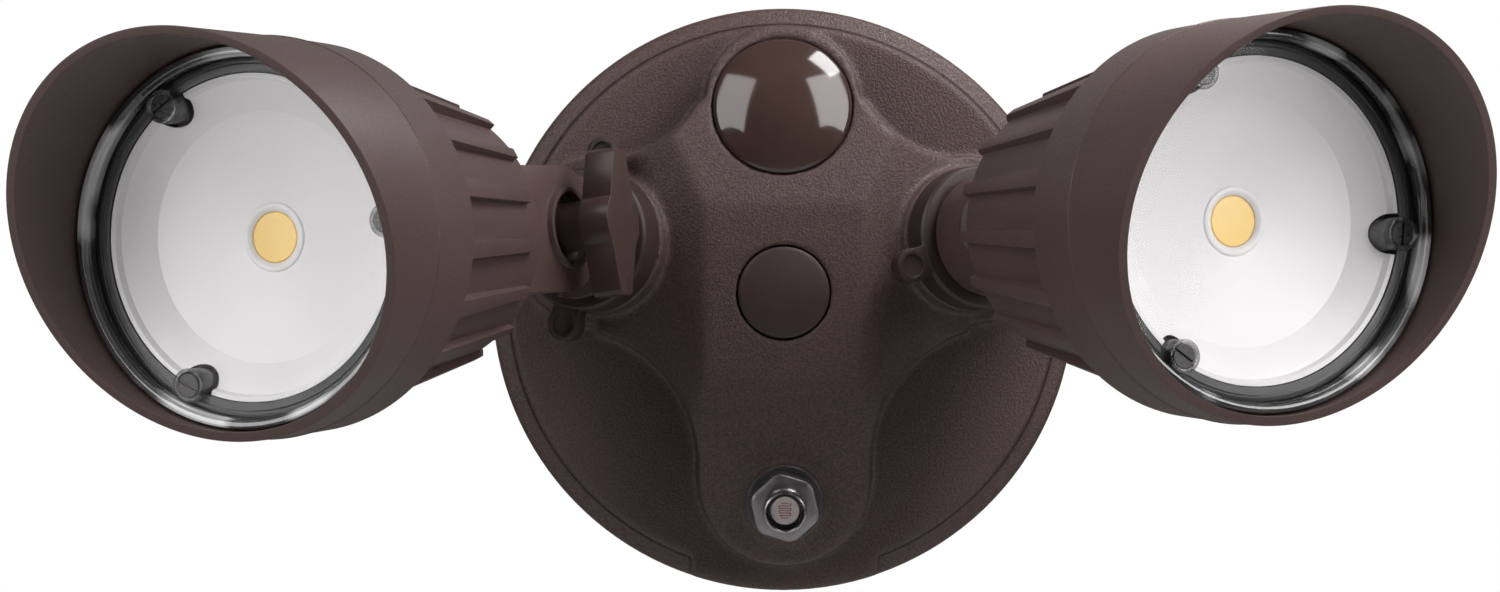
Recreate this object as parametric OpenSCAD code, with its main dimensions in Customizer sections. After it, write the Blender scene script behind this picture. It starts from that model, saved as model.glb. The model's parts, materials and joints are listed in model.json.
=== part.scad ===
// Twin-head security light for a wall or soffit junction box.
// Lengths are in millimetres. Z is up, the light faces -Y and the wall is the plane y = 0.
// Heights written "above the wall" run along -Y.

/* [Canopy] */
// Outer diameter of the canopy
canopy_d = 120; // [112:0.5:140]
// Wall thickness of the canopy casting
canopy_wall = 2.6; // [2:0.1:3.2]
// Height of the canopy's face above the wall
face_h = 10.5; // [9:0.5:14]
// Width of the lowered band round the rim
band_w = 3.8; // [2.5:0.1:5]
// How far the band lies below the face
band_drop = 1.1; // [0.6:0.1:1.6]
// Slope of the band towards the wall in degrees
band_slope = 16; // [8:1:24]
// Width of the tab that crosses the band at the bottom
tab_w = 38.5; // [20:0.5:50]
// Radius of the casting's outer corners
edge_r = 1.2; // [0.6:0.1:1.6]
// How far the wall gasket stands proud of the casting
gasket_proud = 1; // [0.5:0.1:1.5]
// Width of the wall gasket
gasket_w = 4; // [3:0.1:4.4]
// Depth of the groove that holds the gasket
groove_depth = 1.2; // [0.6:0.1:2]

/* [Hub] */
// Height of the hub's flat above the canopy's face
hub_rise = 21.5; // [18:0.5:26]
// Half width of the hub's flat
flat_half_w = 16; // [13:0.5:18]
// Upper end of the hub's flat
flat_top = 19; // [16:0.5:22]
// Lower end of the hub's flat
flat_bottom = 17.5; // [15:0.5:20]
// Fall of the upper and lower arms in degrees
arm_fall = 12.5; // [8:0.5:15]
// Height of the upper arm's round end above the centre
top_arm_z = 40; // [38:0.5:42]
// Radius of the upper arm's round end
top_arm_r = 15.8; // [15:0.1:17]
// Depth of the lower arm's round end below the centre
bottom_arm_z = 36.8; // [35:0.1:40]
// Radius of the lower arm's round end
bottom_arm_r = 17.6; // [16:0.1:19]
// Radius of the side arms' round ends
side_arm_r = 17.2; // [16:0.1:18]
// Radius of the hollows between the upper and side arms
upper_hollow_r = 21.4; // [19:0.1:23]
// Radius of the hollows between the lower and side arms
lower_hollow_r = 27.7; // [26:0.1:29]

/* [Arms] */
// Sideways place of each arm's seat
seat_x = 37.8; // [36:0.5:40]
// Height of each arm's seat above the canopy's centre
seat_z = 11.7; // [10:0.1:14]
// Height of the seat's face above the wall
seat_h = 24; // [23.5:0.1:25]
// Radius of the round seat
seat_r = 14.65; // [13.8:0.05:15.5]
// Outward turn of the arms in degrees
arm_yaw = 27; // [22:0.5:30]
// Upward turn of the arms in degrees
arm_rise = 4; // [0:0.5:6]
// Radius of the arm's threaded spigot
spigot_r = 10.4; // [9.5:0.1:10.8]
// Length of the spigot below the seat's face
spigot_l = 9; // [7:0.5:11]
// Radius of the arm's body
arm_r = 12.4; // [12:0.1:13]
// Distance from the seat's face to the knuckle's pivot
pivot_h = 24; // [23.5:0.1:26]
// Turn of the left arm at rest in degrees
left_roll = 5.2; // [-10:0.1:10]
// Turn of the right arm at rest in degrees
right_roll = -4.3; // [-10:0.1:10]

/* [Lock rings] */
// Radius of the lock ring
ring_r = 14.6; // [14:0.1:15.4]
// Top of the lock ring above the seat's face
ring_top = 7; // [6:0.1:7.4]
// Distance of each ear from the ring's axis
ear_reach = 17.7; // [16.5:0.1:18.5]
// Radius of each ear
ear_r = 3.5; // [3:0.1:4]
// Thickness of each ear
ear_t = 3.2; // [2.4:0.1:4]
// Angle of the left ring's ears from upright in degrees
left_ear_turn = -18; // [-90:1:90]
// Angle of the right ring's ears from upright in degrees
right_ear_turn = -66; // [-90:1:90]

/* [Knuckles] */
// Place of the joint face along the pivot
joint_x = -2.2; // [-3:0.1:-1.5]
// Thickness of the toothed washer between the two halves
tooth_washer_t = 1.2; // [0.8:0.1:1.6]
// Radius of the toothed washer
tooth_washer_r = 9.4; // [8:0.1:10]
// Number of teeth on the washer
tooth_count = 24; // [16:2:36]
// Radius of the head's ear
head_ear_r = 12.6; // [12:0.1:12.8]
// Place of the head's ear outer face along the pivot
head_ear_x = 7.2; // [6.4:0.1:8]
// Depth of the seat that the wing nut's collar turns in
nut_seat_depth = 2.2; // [1.6:0.1:2.8]
// Radius of the nut's seat
nut_seat_r = 7.2; // [6.9:0.1:7.6]
// Radius of the pivot bolt
bolt_r = 3; // [2.5:0.1:3.5]
// Radius of the pivot bolt's head
bolt_head_r = 5.4; // [5:0.1:6]
// Thickness of the pivot bolt's head
bolt_head_t = 3; // [2.4:0.1:3.4]

/* [Wing nuts] */
// Length of the wings from tip to tip
wing_span = 29.4; // [26:0.2:30]
// Thickness of the wings
wing_t = 6.6; // [5:0.1:7.5]
// Width of each wing at its tip
wing_tip_w = 4.8; // [4:0.1:6]
// Radius of the nut's round middle
wing_hub_r = 6.7; // [6.2:0.1:7]
// Height of the nut's collar outside the head's ear
collar_rise = 5; // [3:0.1:5.4]
// Radius of the nut's collar
collar_r = 5; // [4.6:0.1:6]

/* [Heads] */
// Sideways shift of the head from the arm's axis
head_shift = -7.2; // [-7.4:0.1:-6]
// Downward tilt of the left head at rest in degrees
left_tilt = 5.3; // [-20:0.1:40]
// Downward tilt of the right head at rest in degrees
right_tilt = 4.9; // [-20:0.1:40]
// Distance from the pivot to the reflector's rim
rim_z = 101.8; // [98:0.2:110]
// Radius of the neck
neck_r = 13.5; // [13:0.1:14]
// How far the ribs' front ends stand out over the barrel
rib_proud = 0.8; // [0.2:0.1:1.2]
// How much the ribs' circle narrows from front to rear
rib_taper = 8.2; // [6.6:0.1:9]
// Number of ribs
rib_count = 18; // [12:1:24]
// Width of each rib at its front end
rib_w = 3.8; // [3:0.1:5]
// Depth of the grooves between the ribs
rib_depth = 2.4; // [1.6:0.1:3]
// Height of the ribs at their rear ends
rib_rear_depth = 1.2; // [0.8:0.1:1.5]
// Wall thickness of the housing
housing_wall = 2.8; // [2.2:0.1:3.2]
// Radius of the housing's front barrel
barrel_r = 33.8; // [31:0.1:37]
// Wall thickness of the barrel
barrel_wall = 2.7; // [2.2:0.1:3]

/* [Hoods] */
// Wall of the hood's collar, with its gap to the barrel
hood_collar_t = 3.1; // [2.4:0.1:3.4]
// How much wider the hood is at its crease than at its rear edge
hood_swell = 0.8; // [0.5:0.1:1.3]
// How much wider the hood is at its longest point than at its crease
hood_flare = 1.1; // [0.7:0.1:2.3]
// Wall thickness of the hood
hood_wall = 1.5; // [1.2:0.1:1.55]
// Mean reach of the hood in front of the reflector's rim
hood_reach = 16.8; // [14:0.2:20]
// How much further the hood's long side reaches than its mean
hood_rake = 13.9; // [8:0.1:15]
// Turn of the left hood's long side from upright in degrees
left_hood_turn = 12; // [-30:1:30]
// Turn of the right hood's long side from upright in degrees
right_hood_turn = -4; // [-30:1:30]

/* [Optics] */
// How far the clear lens reaches over the barrel's edge
lens_lap = 1.8; // [1.2:0.1:1.9]
// Thickness of the lens
lens_t = 2.2; // [1.6:0.1:3]
// Height of the rim round the lens
lens_rim_h = 1.5; // [0.5:0.1:2]
// Gap between the reflector's rim and the barrel's bore
reflector_gap = 0.4; // [0.3:0.1:1.2]
// Depth of the light source behind the reflector's rim
source_depth = 10; // [8:0.5:12]
// Radius of the lit disc
chip_r = 4.8; // [4:0.1:5.2]
// Radius of the white holder round the lit disc
holder_r = 6.3; // [6:0.1:7]
// How far inside the barrel's edge the lens screws stand
screw_inset = 3.5; // [3.2:0.1:4]
// Radius of the lens bosses
lens_boss_r = 3.2; // [2.9:0.1:3.4]
// Number of lens screws
lens_screw_count = 3; // [3:1:4]

/* [Front fittings] */
// Place of the domed cover above the canopy's centre
blank_z = 39; // [38:0.5:40]
// Radius of the domed cover
blank_r = 14.1; // [13:0.1:14.4]
// Height of the cover's dome
blank_dome = 3.6; // [2:0.1:5]
// Radius of the cover's threaded tail
blank_tail_r = 10; // [8:0.1:10.5]
// Height of the screw cap above the canopy's centre
cap_z = 1; // [-2:0.5:2]
// Radius of the screw cap
cap_r = 9.3; // [8:0.1:10]
// Depth of the screw cap's recess
cap_recess = 4.2; // [3.8:0.1:5]
// Radius of the mounting screw
screw_r = 2.4; // [2:0.1:3]
// Place of the light sensor below the canopy's centre
sensor_z = 41.6; // [40.5:0.1:43]
// Radius of the light sensor's threaded barrel
sensor_r = 4.4; // [4:0.1:5]
// Width of the hexagon nut across its flats
sensor_nut_af = 13; // [12:0.1:14]
// Thickness of the hexagon nut
sensor_nut_t = 3.6; // [3:0.1:5]
// How far the threaded barrel stands out of its nut
sensor_proud = 4; // [3:0.1:5]
// Radius of the washer under the nut
sensor_washer_r = 8; // [7.6:0.1:9]

/* [Crossbar] */
// Length of the crossbar
bar_l = 101; // [98:0.5:102]
// Width of the crossbar
bar_w = 18; // [14:0.5:20]
// Thickness of the crossbar
bar_t = 2; // [1.5:0.1:2.5]
// Distance between the centres of the two slots
slot_spacing = 84; // [82:0.5:84]
// End to end length of each slot
slot_l = 12; // [8:0.5:12]
// Width of each slot
slot_w = 4.6; // [4:0.1:5.5]

/* [Hidden] */
$fn = 96;

LEFT = -1;
RIGHT = 1;
eps = 0.01;
bronze = [0.24, 0.19, 0.17];
bronze_smooth = [0.2, 0.15, 0.14];
ring_grey = [0.22, 0.21, 0.2];

// Clearances
slip = 0.3;
turn_fit = 0.06;
face_gap = 0.1;
arm_gap = 0.8;

canopy_r = canopy_d / 2;
band_r = canopy_r - band_w;
inner_r = canopy_r - band_w - canopy_wall;
hub_h = face_h + hub_rise;
inside_h = face_h - canopy_wall;
upper_hollow_x = 36.3;
upper_hollow_z = 50;
lower_hollow_x = bottom_arm_r + lower_hollow_r;
lower_hollow_z = -33.6;
far = 90;

gasket_outer_r = canopy_r - 1.4;
gasket_inner_r = gasket_outer_r - gasket_w;

// Knuckle, along the pivot
arm_face_x = joint_x - tooth_washer_t / 2;
head_face_x = joint_x + tooth_washer_t / 2 + face_gap;
nut_floor_x = head_ear_x - nut_seat_depth;
wing_x = head_ear_x + collar_rise;
arm_base_z = ring_top + arm_gap;
arm_shoulder_z = pivot_h - head_ear_r - 0.4;
knuckle_room = 40;

// Head, along its own axis from the pivot
rib_rear_z = rim_z - 69;
collar_z = rim_z - 21.4;
crease_z = rim_z - 6;
hood_front_z = rim_z + hood_reach + hood_rake;
front_z = rim_z - 1.4;
gasket_t = 0.6;
lens_z = front_z + gasket_t;
chip_z = rim_z - source_depth;
board_t = 1.6;
board_z = chip_z - 0.8 - board_t;
plate_t = 3;
plate_z = board_z - plate_t;
bore_r = barrel_r - barrel_wall;
plate_r = bore_r - 0.2;
plate_seat_r = plate_r - 2.5;
reflector_r = bore_r - reflector_gap;
lens_r = barrel_r + lens_lap;
lens_screw_circle = barrel_r - screw_inset;
hood_rear_r = barrel_r + hood_collar_t;
hood_crease_r = hood_rear_r + hood_swell;
hood_front_r = hood_crease_r + hood_flare;
rib_front_r = barrel_r + rib_proud;
rib_rear_r = rib_front_r - rib_taper;
driver_z = rib_rear_z + 26;
driver_r = rib_rear_r - housing_wall - 0.8;
driver_seat_r = driver_r - 2.3;
screw_post_r = lens_boss_r + 0.4;
lens_boss_l = 4.6;
lens_screw_r = 1.3;
lens_screw_head_t = 1.6;
lens_screw_seat = lens_z + lens_t - lens_screw_head_t - 0.3;

// Places on the hub's sloping faces
blank_h = hub_h - (blank_z - flat_top) * tan(arm_fall);
sensor_h = hub_h - (sensor_z - flat_bottom) * tan(arm_fall);
cap_floor_h = hub_h - cap_recess;
blank_sink = 1.4;
blank_seat_t = 5;
blank_nut_t = 3.6;
blank_nut_w = 3;
screw_head_t = 2.4;
washer_h = 0.5;
washer_t = 0.8;
sensor_nut_h = washer_h + washer_t;
sensor_top_h = sensor_nut_h + sensor_nut_t + sensor_proud;
sensor_well = 2.6;
sensor_floor_h = sensor_top_h - sensor_well;
disc_t = 1;

function roll_of(side) = side == LEFT ? left_roll : right_roll;
function tilt_of(side) = side == LEFT ? left_tilt : right_tilt;
function ear_turn_of(side) = side == LEFT ? left_ear_turn : right_ear_turn;
function hood_turn_of(side) = side == LEFT ? left_hood_turn : right_hood_turn;

// Turns local X right, Y up, Z outwards into the light's own frame.
module facing_out() {
    rotate([90, 0, 0]) children();
}

// Local frame of an arm: origin at the middle of its seat, Z along the arm.
module on_arm(side) {
    translate([side * seat_x, -seat_h, seat_z])
        rotate([0, 0, side * arm_yaw])
            rotate([-arm_rise, 0, 0])
                facing_out()
                    rotate([0, 0, roll_of(side)]) children();
}

// Local frame of a head: origin on the pivot, Z along the head, X along the pivot.
module on_pivot(side) {
    on_arm(side) translate([0, 0, pivot_h]) rotate([tilt_of(side), 0, 0]) children();
}

module on_head(side) {
    on_pivot(side) translate([head_shift, 0, 0]) children();
}

// Local frame of the centre screw: origin on the wall, Z outwards.
module on_centre() {
    translate([0, 0, cap_z]) facing_out() children();
}

// Local frame on the upper arm's face, at the domed cover.
module on_upper_arm() {
    translate([0, -blank_h, blank_z]) rotate([-arm_fall, 0, 0]) facing_out() children();
}

// Local frame on the lower arm's face, at the light sensor.
module on_lower_arm() {
    translate([0, -sensor_h, -sensor_z]) rotate([arm_fall, 0, 0]) facing_out() children();
}

// A round bar along local X from x0 to x1.
module bar_x(r, x0, x1) {
    translate([x0, 0, 0]) rotate([0, 90, 0]) cylinder(r = r, h = x1 - x0);
}

module tube(outer, inner, h) {
    difference() {
        cylinder(r = outer, h = h);
        translate([0, 0, -eps]) cylinder(r = inner, h = h + 2 * eps);
    }
}

// Outline of the hub seen from the front, drawn in by inset.
module hub_outline(inset) {
    difference() {
        translate([-seat_x, -bottom_arm_z]) square([2 * seat_x, bottom_arm_z + top_arm_z]);
        for (side = [LEFT, RIGHT]) {
            translate([side * upper_hollow_x, upper_hollow_z]) circle(r = upper_hollow_r + inset);
            translate([side * lower_hollow_x, lower_hollow_z]) circle(r = lower_hollow_r + inset);
        }
    }
    translate([0, top_arm_z]) circle(r = top_arm_r - inset);
    translate([0, -bottom_arm_z]) circle(r = bottom_arm_r - inset);
    for (side = [LEFT, RIGHT])
        translate([side * seat_x, seat_z]) circle(r = side_arm_r - inset);
}

// The hub as a solid: its outline cut by the sloping faces, drawn in by inset.
module hub_solid(inset, base) {
    top = hub_h - inset;
    side_fall = tan(arm_yaw);
    end_fall = tan(arm_fall);
    side_x = flat_half_w - inset * tan(arm_yaw / 2);
    top_z = flat_top - inset * tan(arm_fall / 2);
    low_z = flat_bottom - inset * tan(arm_fall / 2);
    intersection() {
        facing_out() translate([0, 0, base]) linear_extrude(height = hub_h) hub_outline(inset);
        translate([0, 0, -far]) linear_extrude(height = 2 * far) polygon([
            [-far, 0], [-far, -(top - (far - side_x) * side_fall)], [-side_x, -top],
            [side_x, -top], [far, -(top - (far - side_x) * side_fall)], [far, 0]
        ]);
        rotate([90, 0, 90]) translate([0, 0, -far]) linear_extrude(height = 2 * far) polygon([
            [0, -far], [-(top - (far - low_z) * end_fall), -far], [-top, -low_z],
            [-top, top_z], [-(top - (far - top_z) * end_fall), far], [0, far]
        ]);
    }
}

// Section of the canopy's outer skin, as radius and height above the wall.
module canopy_section(tab) {
    band_h = face_h - band_drop;
    edge_h = band_h - band_w * tan(band_slope);
    low = gasket_proud;
    if (tab)
        polygon([[0, low], [canopy_r, low], [canopy_r, face_h - edge_r],
            [canopy_r - 0.35 * edge_r, face_h - 0.35 * edge_r], [canopy_r - edge_r, face_h],
            [0, face_h]]);
    else
        polygon([[0, low], [canopy_r, low], [canopy_r, edge_h - edge_r],
            [canopy_r - 0.35 * edge_r, edge_h - 0.3 * edge_r], [canopy_r - edge_r, edge_h],
            [band_r, band_h], [band_r, face_h - 0.4], [band_r - 0.4, face_h], [0, face_h]]);
}

module canopy_dish() {
    facing_out() {
        rotate_extrude() canopy_section(false);
        intersection() {
            rotate_extrude() canopy_section(true);
            translate([-tab_w / 2, -canopy_r - 1, 0]) cube([tab_w, canopy_r, face_h]);
        }
    }
}

module canopy_hollow() {
    facing_out() translate([0, 0, -1]) cylinder(r = inner_r, h = inside_h + 1);
    hub_solid(canopy_wall, 0);
}

module canopy_bosses() {
    for (side = [LEFT, RIGHT])
        on_arm(side) translate([0, 0, -spigot_l]) cylinder(r = seat_r, h = spigot_l);
    on_centre() translate([0, 0, cap_floor_h - 3]) cylinder(r = cap_r + 2.6, h = cap_recess + 2);
    on_upper_arm() translate([0, 0, -blank_seat_t]) cylinder(r = top_arm_r - 0.6, h = blank_seat_t);
    on_lower_arm() translate([0, 0, -canopy_wall])
        cylinder(r = sensor_washer_r + 0.6, h = canopy_wall + 0.5);
    translate([-30, 0, -32]) facing_out() translate([0, 0, inside_h - 2.4]) cylinder(r = 4, h = 4);
}

module canopy_holes() {
    on_centre() {
        translate([0, 0, cap_floor_h]) cylinder(r = cap_r + slip, h = cap_recess + 1);
        cylinder(r = screw_r + 0.2, h = hub_h);
    }
    facing_out() translate([0, 0, gasket_proud - eps])
        tube(gasket_outer_r, gasket_inner_r, groove_depth + eps);
    on_upper_arm() {
        translate([0, 0, -blank_sink]) cylinder(r = blank_r + slip, h = blank_sink + 5);
        translate([0, 0, -blank_seat_t - 7]) cylinder(r = blank_tail_r + 0.2, h = blank_seat_t + 9);
    }
    on_lower_arm() translate([0, 0, -8]) cylinder(r = sensor_r + 0.1, h = 12);
    for (side = [LEFT, RIGHT])
        on_arm(side) translate([0, 0, -spigot_l - 6]) cylinder(r = spigot_r + turn_fit, h = spigot_l + 8);
    translate([-30, 0, -32]) facing_out() translate([0, 0, inside_h - 3]) cylinder(r = 1.9, h = 4);
}

module canopy() {
    color(bronze) difference() {
        union() {
            difference() {
                union() {
                    canopy_dish();
                    hub_solid(0, 1);
                }
                canopy_hollow();
            }
            canopy_bosses();
        }
        canopy_holes();
    }
}

module wall_gasket() {
    color([0.1, 0.1, 0.1]) facing_out()
        tube(gasket_outer_r, gasket_inner_r, gasket_proud + groove_depth);
}

module slot_2d() {
    reach = (slot_l - slot_w) / 2;
    square([2 * reach, slot_w], center = true);
    for (side = [LEFT, RIGHT]) translate([side * reach, 0]) circle(r = slot_w / 2);
}

module crossbar() {
    color([0.75, 0.74, 0.68]) facing_out() difference() {
        union() {
            linear_extrude(height = bar_t) difference() {
                intersection() {
                    square([bar_l, bar_w], center = true);
                    circle(r = bar_l / 2);
                }
                for (side = [LEFT, RIGHT]) translate([side * slot_spacing / 2, 0]) slot_2d();
            }
            translate([0, cap_z, 0]) cylinder(r = screw_r + 2, h = bar_t + 2.4);
        }
        translate([0, cap_z, -1]) cylinder(r = screw_r, h = bar_t + 5);
        for (side = [LEFT, RIGHT])
            translate([side * 22, 0, -1]) cylinder(r = 2.2, h = bar_t + 2);
    }
}

module mounting_screw() {
    color([0.7, 0.7, 0.7]) on_centre() difference() {
        union() {
            cylinder(r = screw_r, h = cap_floor_h + 0.5);
            translate([0, 0, cap_floor_h]) cylinder(r = 2 * screw_r - 0.5, h = screw_head_t);
        }
        translate([-3, -0.5, cap_floor_h + 1.2]) cube([6, 1, 2]);
        translate([-0.5, -3, cap_floor_h + 1.2]) cube([1, 6, 2]);
    }
}

module ground_screw() {
    color([0.1, 0.5, 0.2]) translate([-30, 0, -32]) facing_out() {
        translate([0, 0, inside_h - 2.4]) cylinder(r = 1.9, h = 3.4);
        difference() {
            translate([0, 0, inside_h - 4.4]) cylinder(r = 3.4, h = 2);
            translate([-4, -0.5, inside_h - 5]) cube([8, 1, 1.4]);
        }
    }
}

module screw_cap() {
    skirt_h = cap_recess - slip - 0.2;
    color(bronze_smooth) on_centre() difference() {
        union() {
            translate([0, 0, cap_floor_h + slip]) cylinder(r = cap_r, h = skirt_h);
            intersection() {
                translate([0, 0, hub_h + 1.1 - 6 * cap_r]) sphere(r = 6 * cap_r);
                translate([0, 0, hub_h - 0.2 - eps]) cylinder(r = cap_r, h = 3);
            }
        }
        translate([0, 0, cap_floor_h]) cylinder(r = cap_r - 1.2, h = screw_head_t + 0.4);
    }
}

module sensor_blank() {
    dome_r = (blank_r * blank_r + blank_dome * blank_dome) / (2 * blank_dome);
    color([0.2, 0.13, 0.12]) on_upper_arm() {
        translate([0, 0, -blank_sink]) cylinder(r = blank_r, h = blank_sink + 0.2);
        intersection() {
            translate([0, 0, 0.2 + blank_dome - dome_r]) sphere(r = dome_r);
            translate([0, 0, 0.2 - eps]) cylinder(r = blank_r, h = blank_dome + 1);
        }
        translate([0, 0, -blank_seat_t - blank_nut_t - 1])
            tube(blank_tail_r, blank_tail_r - 2, blank_seat_t + blank_nut_t + 1.1 - blank_sink);
    }
}

module blank_nut() {
    color([0.15, 0.15, 0.15]) on_upper_arm() difference() {
        translate([0, 0, -blank_seat_t - blank_nut_t])
            cylinder(r = blank_tail_r + blank_nut_w, h = blank_nut_t);
        translate([0, 0, -blank_seat_t - blank_nut_t - 1]) cylinder(r = blank_tail_r, h = blank_nut_t + 2);
        for (turn = [0 : 60 : 300])
            rotate([0, 0, turn]) translate([blank_tail_r + 0.6 * blank_nut_w, -blank_nut_w / 2, -far])
                cube([blank_nut_w, blank_nut_w, far]);
    }
}

module photocell_barrel() {
    tail = 7.5;
    color([0.6, 0.6, 0.62]) on_lower_arm() difference() {
        translate([0, 0, -tail]) cylinder(r = sensor_r, h = sensor_top_h + tail);
        translate([0, 0, sensor_floor_h]) cylinder(r = sensor_r - 0.7, h = sensor_well + 1);
    }
}

module photocell_nut() {
    corner_r = sensor_nut_af / 2 / cos(30);
    color([0.32, 0.33, 0.36]) on_lower_arm()
        translate([0, 0, sensor_nut_h]) rotate([0, 0, 12]) difference() {
            intersection() {
                cylinder(r = corner_r, h = sensor_nut_t, $fn = 6);
                cylinder(r = corner_r - 0.35, h = sensor_nut_t);
            }
            translate([0, 0, -1]) cylinder(r = sensor_r, h = sensor_nut_t + 2);
        }
}

module photocell_washer() {
    color([0.16, 0.15, 0.15]) on_lower_arm() translate([0, 0, washer_h])
        tube(sensor_washer_r, sensor_r, washer_t);
}

module photocell_disc() {
    color([0.85, 0.72, 0.7]) on_lower_arm()
        translate([0, 0, sensor_floor_h]) cylinder(r = sensor_r - 1.2, h = disc_t);
}

module photocell_window() {
    color([0.9, 0.92, 0.95, 0.4]) on_lower_arm()
        translate([0, 0, sensor_floor_h + disc_t]) cylinder(r = sensor_r - 0.7, h = 1.2);
}

module lock_ring(side) {
    bore_r = spigot_r + turn_fit;
    color(ring_grey) on_arm(side) difference() {
        union() {
            rotate_extrude() polygon([
                [bore_r, slip], [ring_r - 0.6, slip], [ring_r, slip + 0.6],
                [ring_r, ring_top - 0.6], [ring_r - 0.6, ring_top], [bore_r, ring_top]
            ]);
            for (turn = [0, 180]) rotate([0, 0, ear_turn_of(side) + turn])
                translate([0, 0, ring_top - slip - ear_t]) {
                    translate([0, ear_reach, 0]) cylinder(r = ear_r, h = ear_t);
                    translate([0.4 - ear_r, ring_r - 2, 0])
                        cube([2 * ear_r - 0.8, ear_reach - ring_r + 2, ear_t]);
                }
        }
        for (turn = [0, 180]) rotate([0, 0, ear_turn_of(side) + turn])
            translate([0, ear_reach, ring_top - 0.8]) cylinder(r = ear_r - 1.2, h = 1);
    }
}

// The arm: spigot, round base and the knuckle's lower half.
module arm(side) {
    color(bronze) on_arm(side) difference() {
        union() {
            translate([0, 0, -spigot_l]) cylinder(r = spigot_r, h = spigot_l + arm_base_z);
            translate([0, 0, arm_base_z]) cylinder(r1 = arm_r - 0.9, r2 = arm_r, h = 1);
            translate([0, 0, arm_base_z + 1]) cylinder(r = arm_r, h = arm_shoulder_z - arm_base_z - 1);
            intersection() {
                cylinder(r = arm_r, h = pivot_h + arm_r);
                union() {
                    translate([0, 0, pivot_h]) bar_x(arm_r, -arm_r - 1, arm_face_x);
                    translate([-arm_r - 1, -arm_r, arm_base_z + 1])
                        cube([arm_r + 1 + arm_face_x, 2 * arm_r, pivot_h - arm_base_z - 1]);
                }
            }
        }
        translate([0, 0, pivot_h]) {
            bar_x(bolt_r, -arm_r - 2, 2);
            bar_x(bolt_head_r + 0.2, -arm_r - 2, -arm_r + bolt_head_t);
            bar_x(wing_span / 2 + 0.5, wing_x - 0.4, 2 * arm_r);
        }
        translate([3.4, 0, -spigot_l - 1]) cylinder(r = 4, h = spigot_l + arm_shoulder_z + 2);
    }
}

module tooth_washer(side) {
    tooth_w = PI * tooth_washer_r / tooth_count;
    color([0.55, 0.55, 0.55]) on_pivot(side) difference() {
        bar_x(tooth_washer_r, arm_face_x, arm_face_x + tooth_washer_t);
        bar_x(bolt_r, arm_face_x - 1, head_face_x + 1);
        for (tooth = [0 : tooth_count - 1])
            rotate([tooth * 360 / tooth_count, 0, 0])
                translate([head_face_x - face_gap - 0.35, -tooth_w / 2, tooth_washer_r - 3])
                    cube([1, tooth_w, 4]);
    }
}

module pivot_bolt(side) {
    color([0.6, 0.6, 0.6]) on_arm(side) translate([0, 0, pivot_h]) {
        bar_x(bolt_r, -arm_r + 0.4, head_ear_x + collar_rise + 2);
        difference() {
            bar_x(bolt_head_r, -arm_r + 0.2, -arm_r + bolt_head_t);
            translate([-arm_r, -5, -0.6]) cube([1.2, 10, 1.2]);
        }
    }
}

// Face of the wings, with the span along local Y.
module wing_2d() {
    tip = wing_span / 2;
    shoulder = wing_hub_r * 0.72;
    circle(r = wing_hub_r);
    polygon([
        [wing_tip_w / 2, tip - 0.7], [wing_tip_w / 2 - 0.7, tip], [-wing_tip_w / 2 + 0.7, tip],
        [-wing_tip_w / 2, tip - 0.7], [-shoulder, shoulder], [-shoulder, -shoulder],
        [-wing_tip_w / 2, -tip + 0.7], [-wing_tip_w / 2 + 0.7, -tip], [wing_tip_w / 2 - 0.7, -tip],
        [wing_tip_w / 2, -tip + 0.7], [shoulder, -shoulder], [shoulder, shoulder]
    ]);
}

module wing_nut(side) {
    color(bronze_smooth) on_arm(side) translate([0, 0, pivot_h]) difference() {
        union() {
            bar_x(collar_r, nut_floor_x + face_gap, wing_x + 1);
            translate([wing_x, 0, 0]) rotate([0, 90, 0]) linear_extrude(height = wing_t) wing_2d();
        }
        bar_x(bolt_r + turn_fit, 0, wing_x + 2.2);
    }
}

// Radius of the ribs' crests at a place along the head.
function crest_r(z) = rib_rear_r + (rib_front_r - rib_rear_r) * (z - rib_rear_z) / (collar_z - rib_rear_z);

module housing_core() {
    rotate_extrude() polygon([
        [0, 8], [neck_r, 8], [neck_r, 19], [neck_r + 1.2, 23], [neck_r + 5, rib_rear_z - 4.4],
        [crest_r(rib_rear_z) - rib_rear_depth - 0.9, rib_rear_z + 0.4],
        [crest_r(rib_rear_z + 2) - rib_rear_depth, rib_rear_z + 2],
        [crest_r(collar_z) - rib_depth, collar_z - 1], [barrel_r - 1, collar_z - 0.2],
        [barrel_r, collar_z + 0.8], [barrel_r, front_z], [0, front_z]
    ]);
}

// Ribs taper in width and in height towards the neck.
module housing_ribs() {
    rear = rib_rear_z;
    front = collar_z;
    slope = (crest_r(front) - crest_r(rear)) / (front - rear);
    for (rib = [0 : rib_count - 1])
        rotate([0, 0, (rib + 0.5) * 360 / rib_count]) intersection() {
            translate([0, rib_w / 2, 0]) rotate([90, 0, 0]) linear_extrude(height = rib_w) polygon([
                [12, rear], [crest_r(rear) - 1, rear], [crest_r(rear + 1), rear + 1],
                [crest_r(front), front], [12, front]
            ]);
            rotate([0, 90, 0]) linear_extrude(height = crest_r(front) + 1) polygon([
                [-rear + 1, -rib_w * 0.26], [-rear + 1, rib_w * 0.26],
                [-front - 1, rib_w / 2], [-front - 1, -rib_w / 2]
            ]);
        }
}

module housing_ear() {
    translate([-head_shift, 0, 0]) difference() {
        union() {
            bar_x(head_ear_r, head_face_x, head_ear_x - 1.2);
            bar_x(nut_seat_r + 1, head_face_x, head_ear_x);
            translate([head_face_x, -head_ear_r, 0])
                cube([head_ear_x - 1.2 - head_face_x, 2 * head_ear_r, 20]);
        }
    }
}

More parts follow.
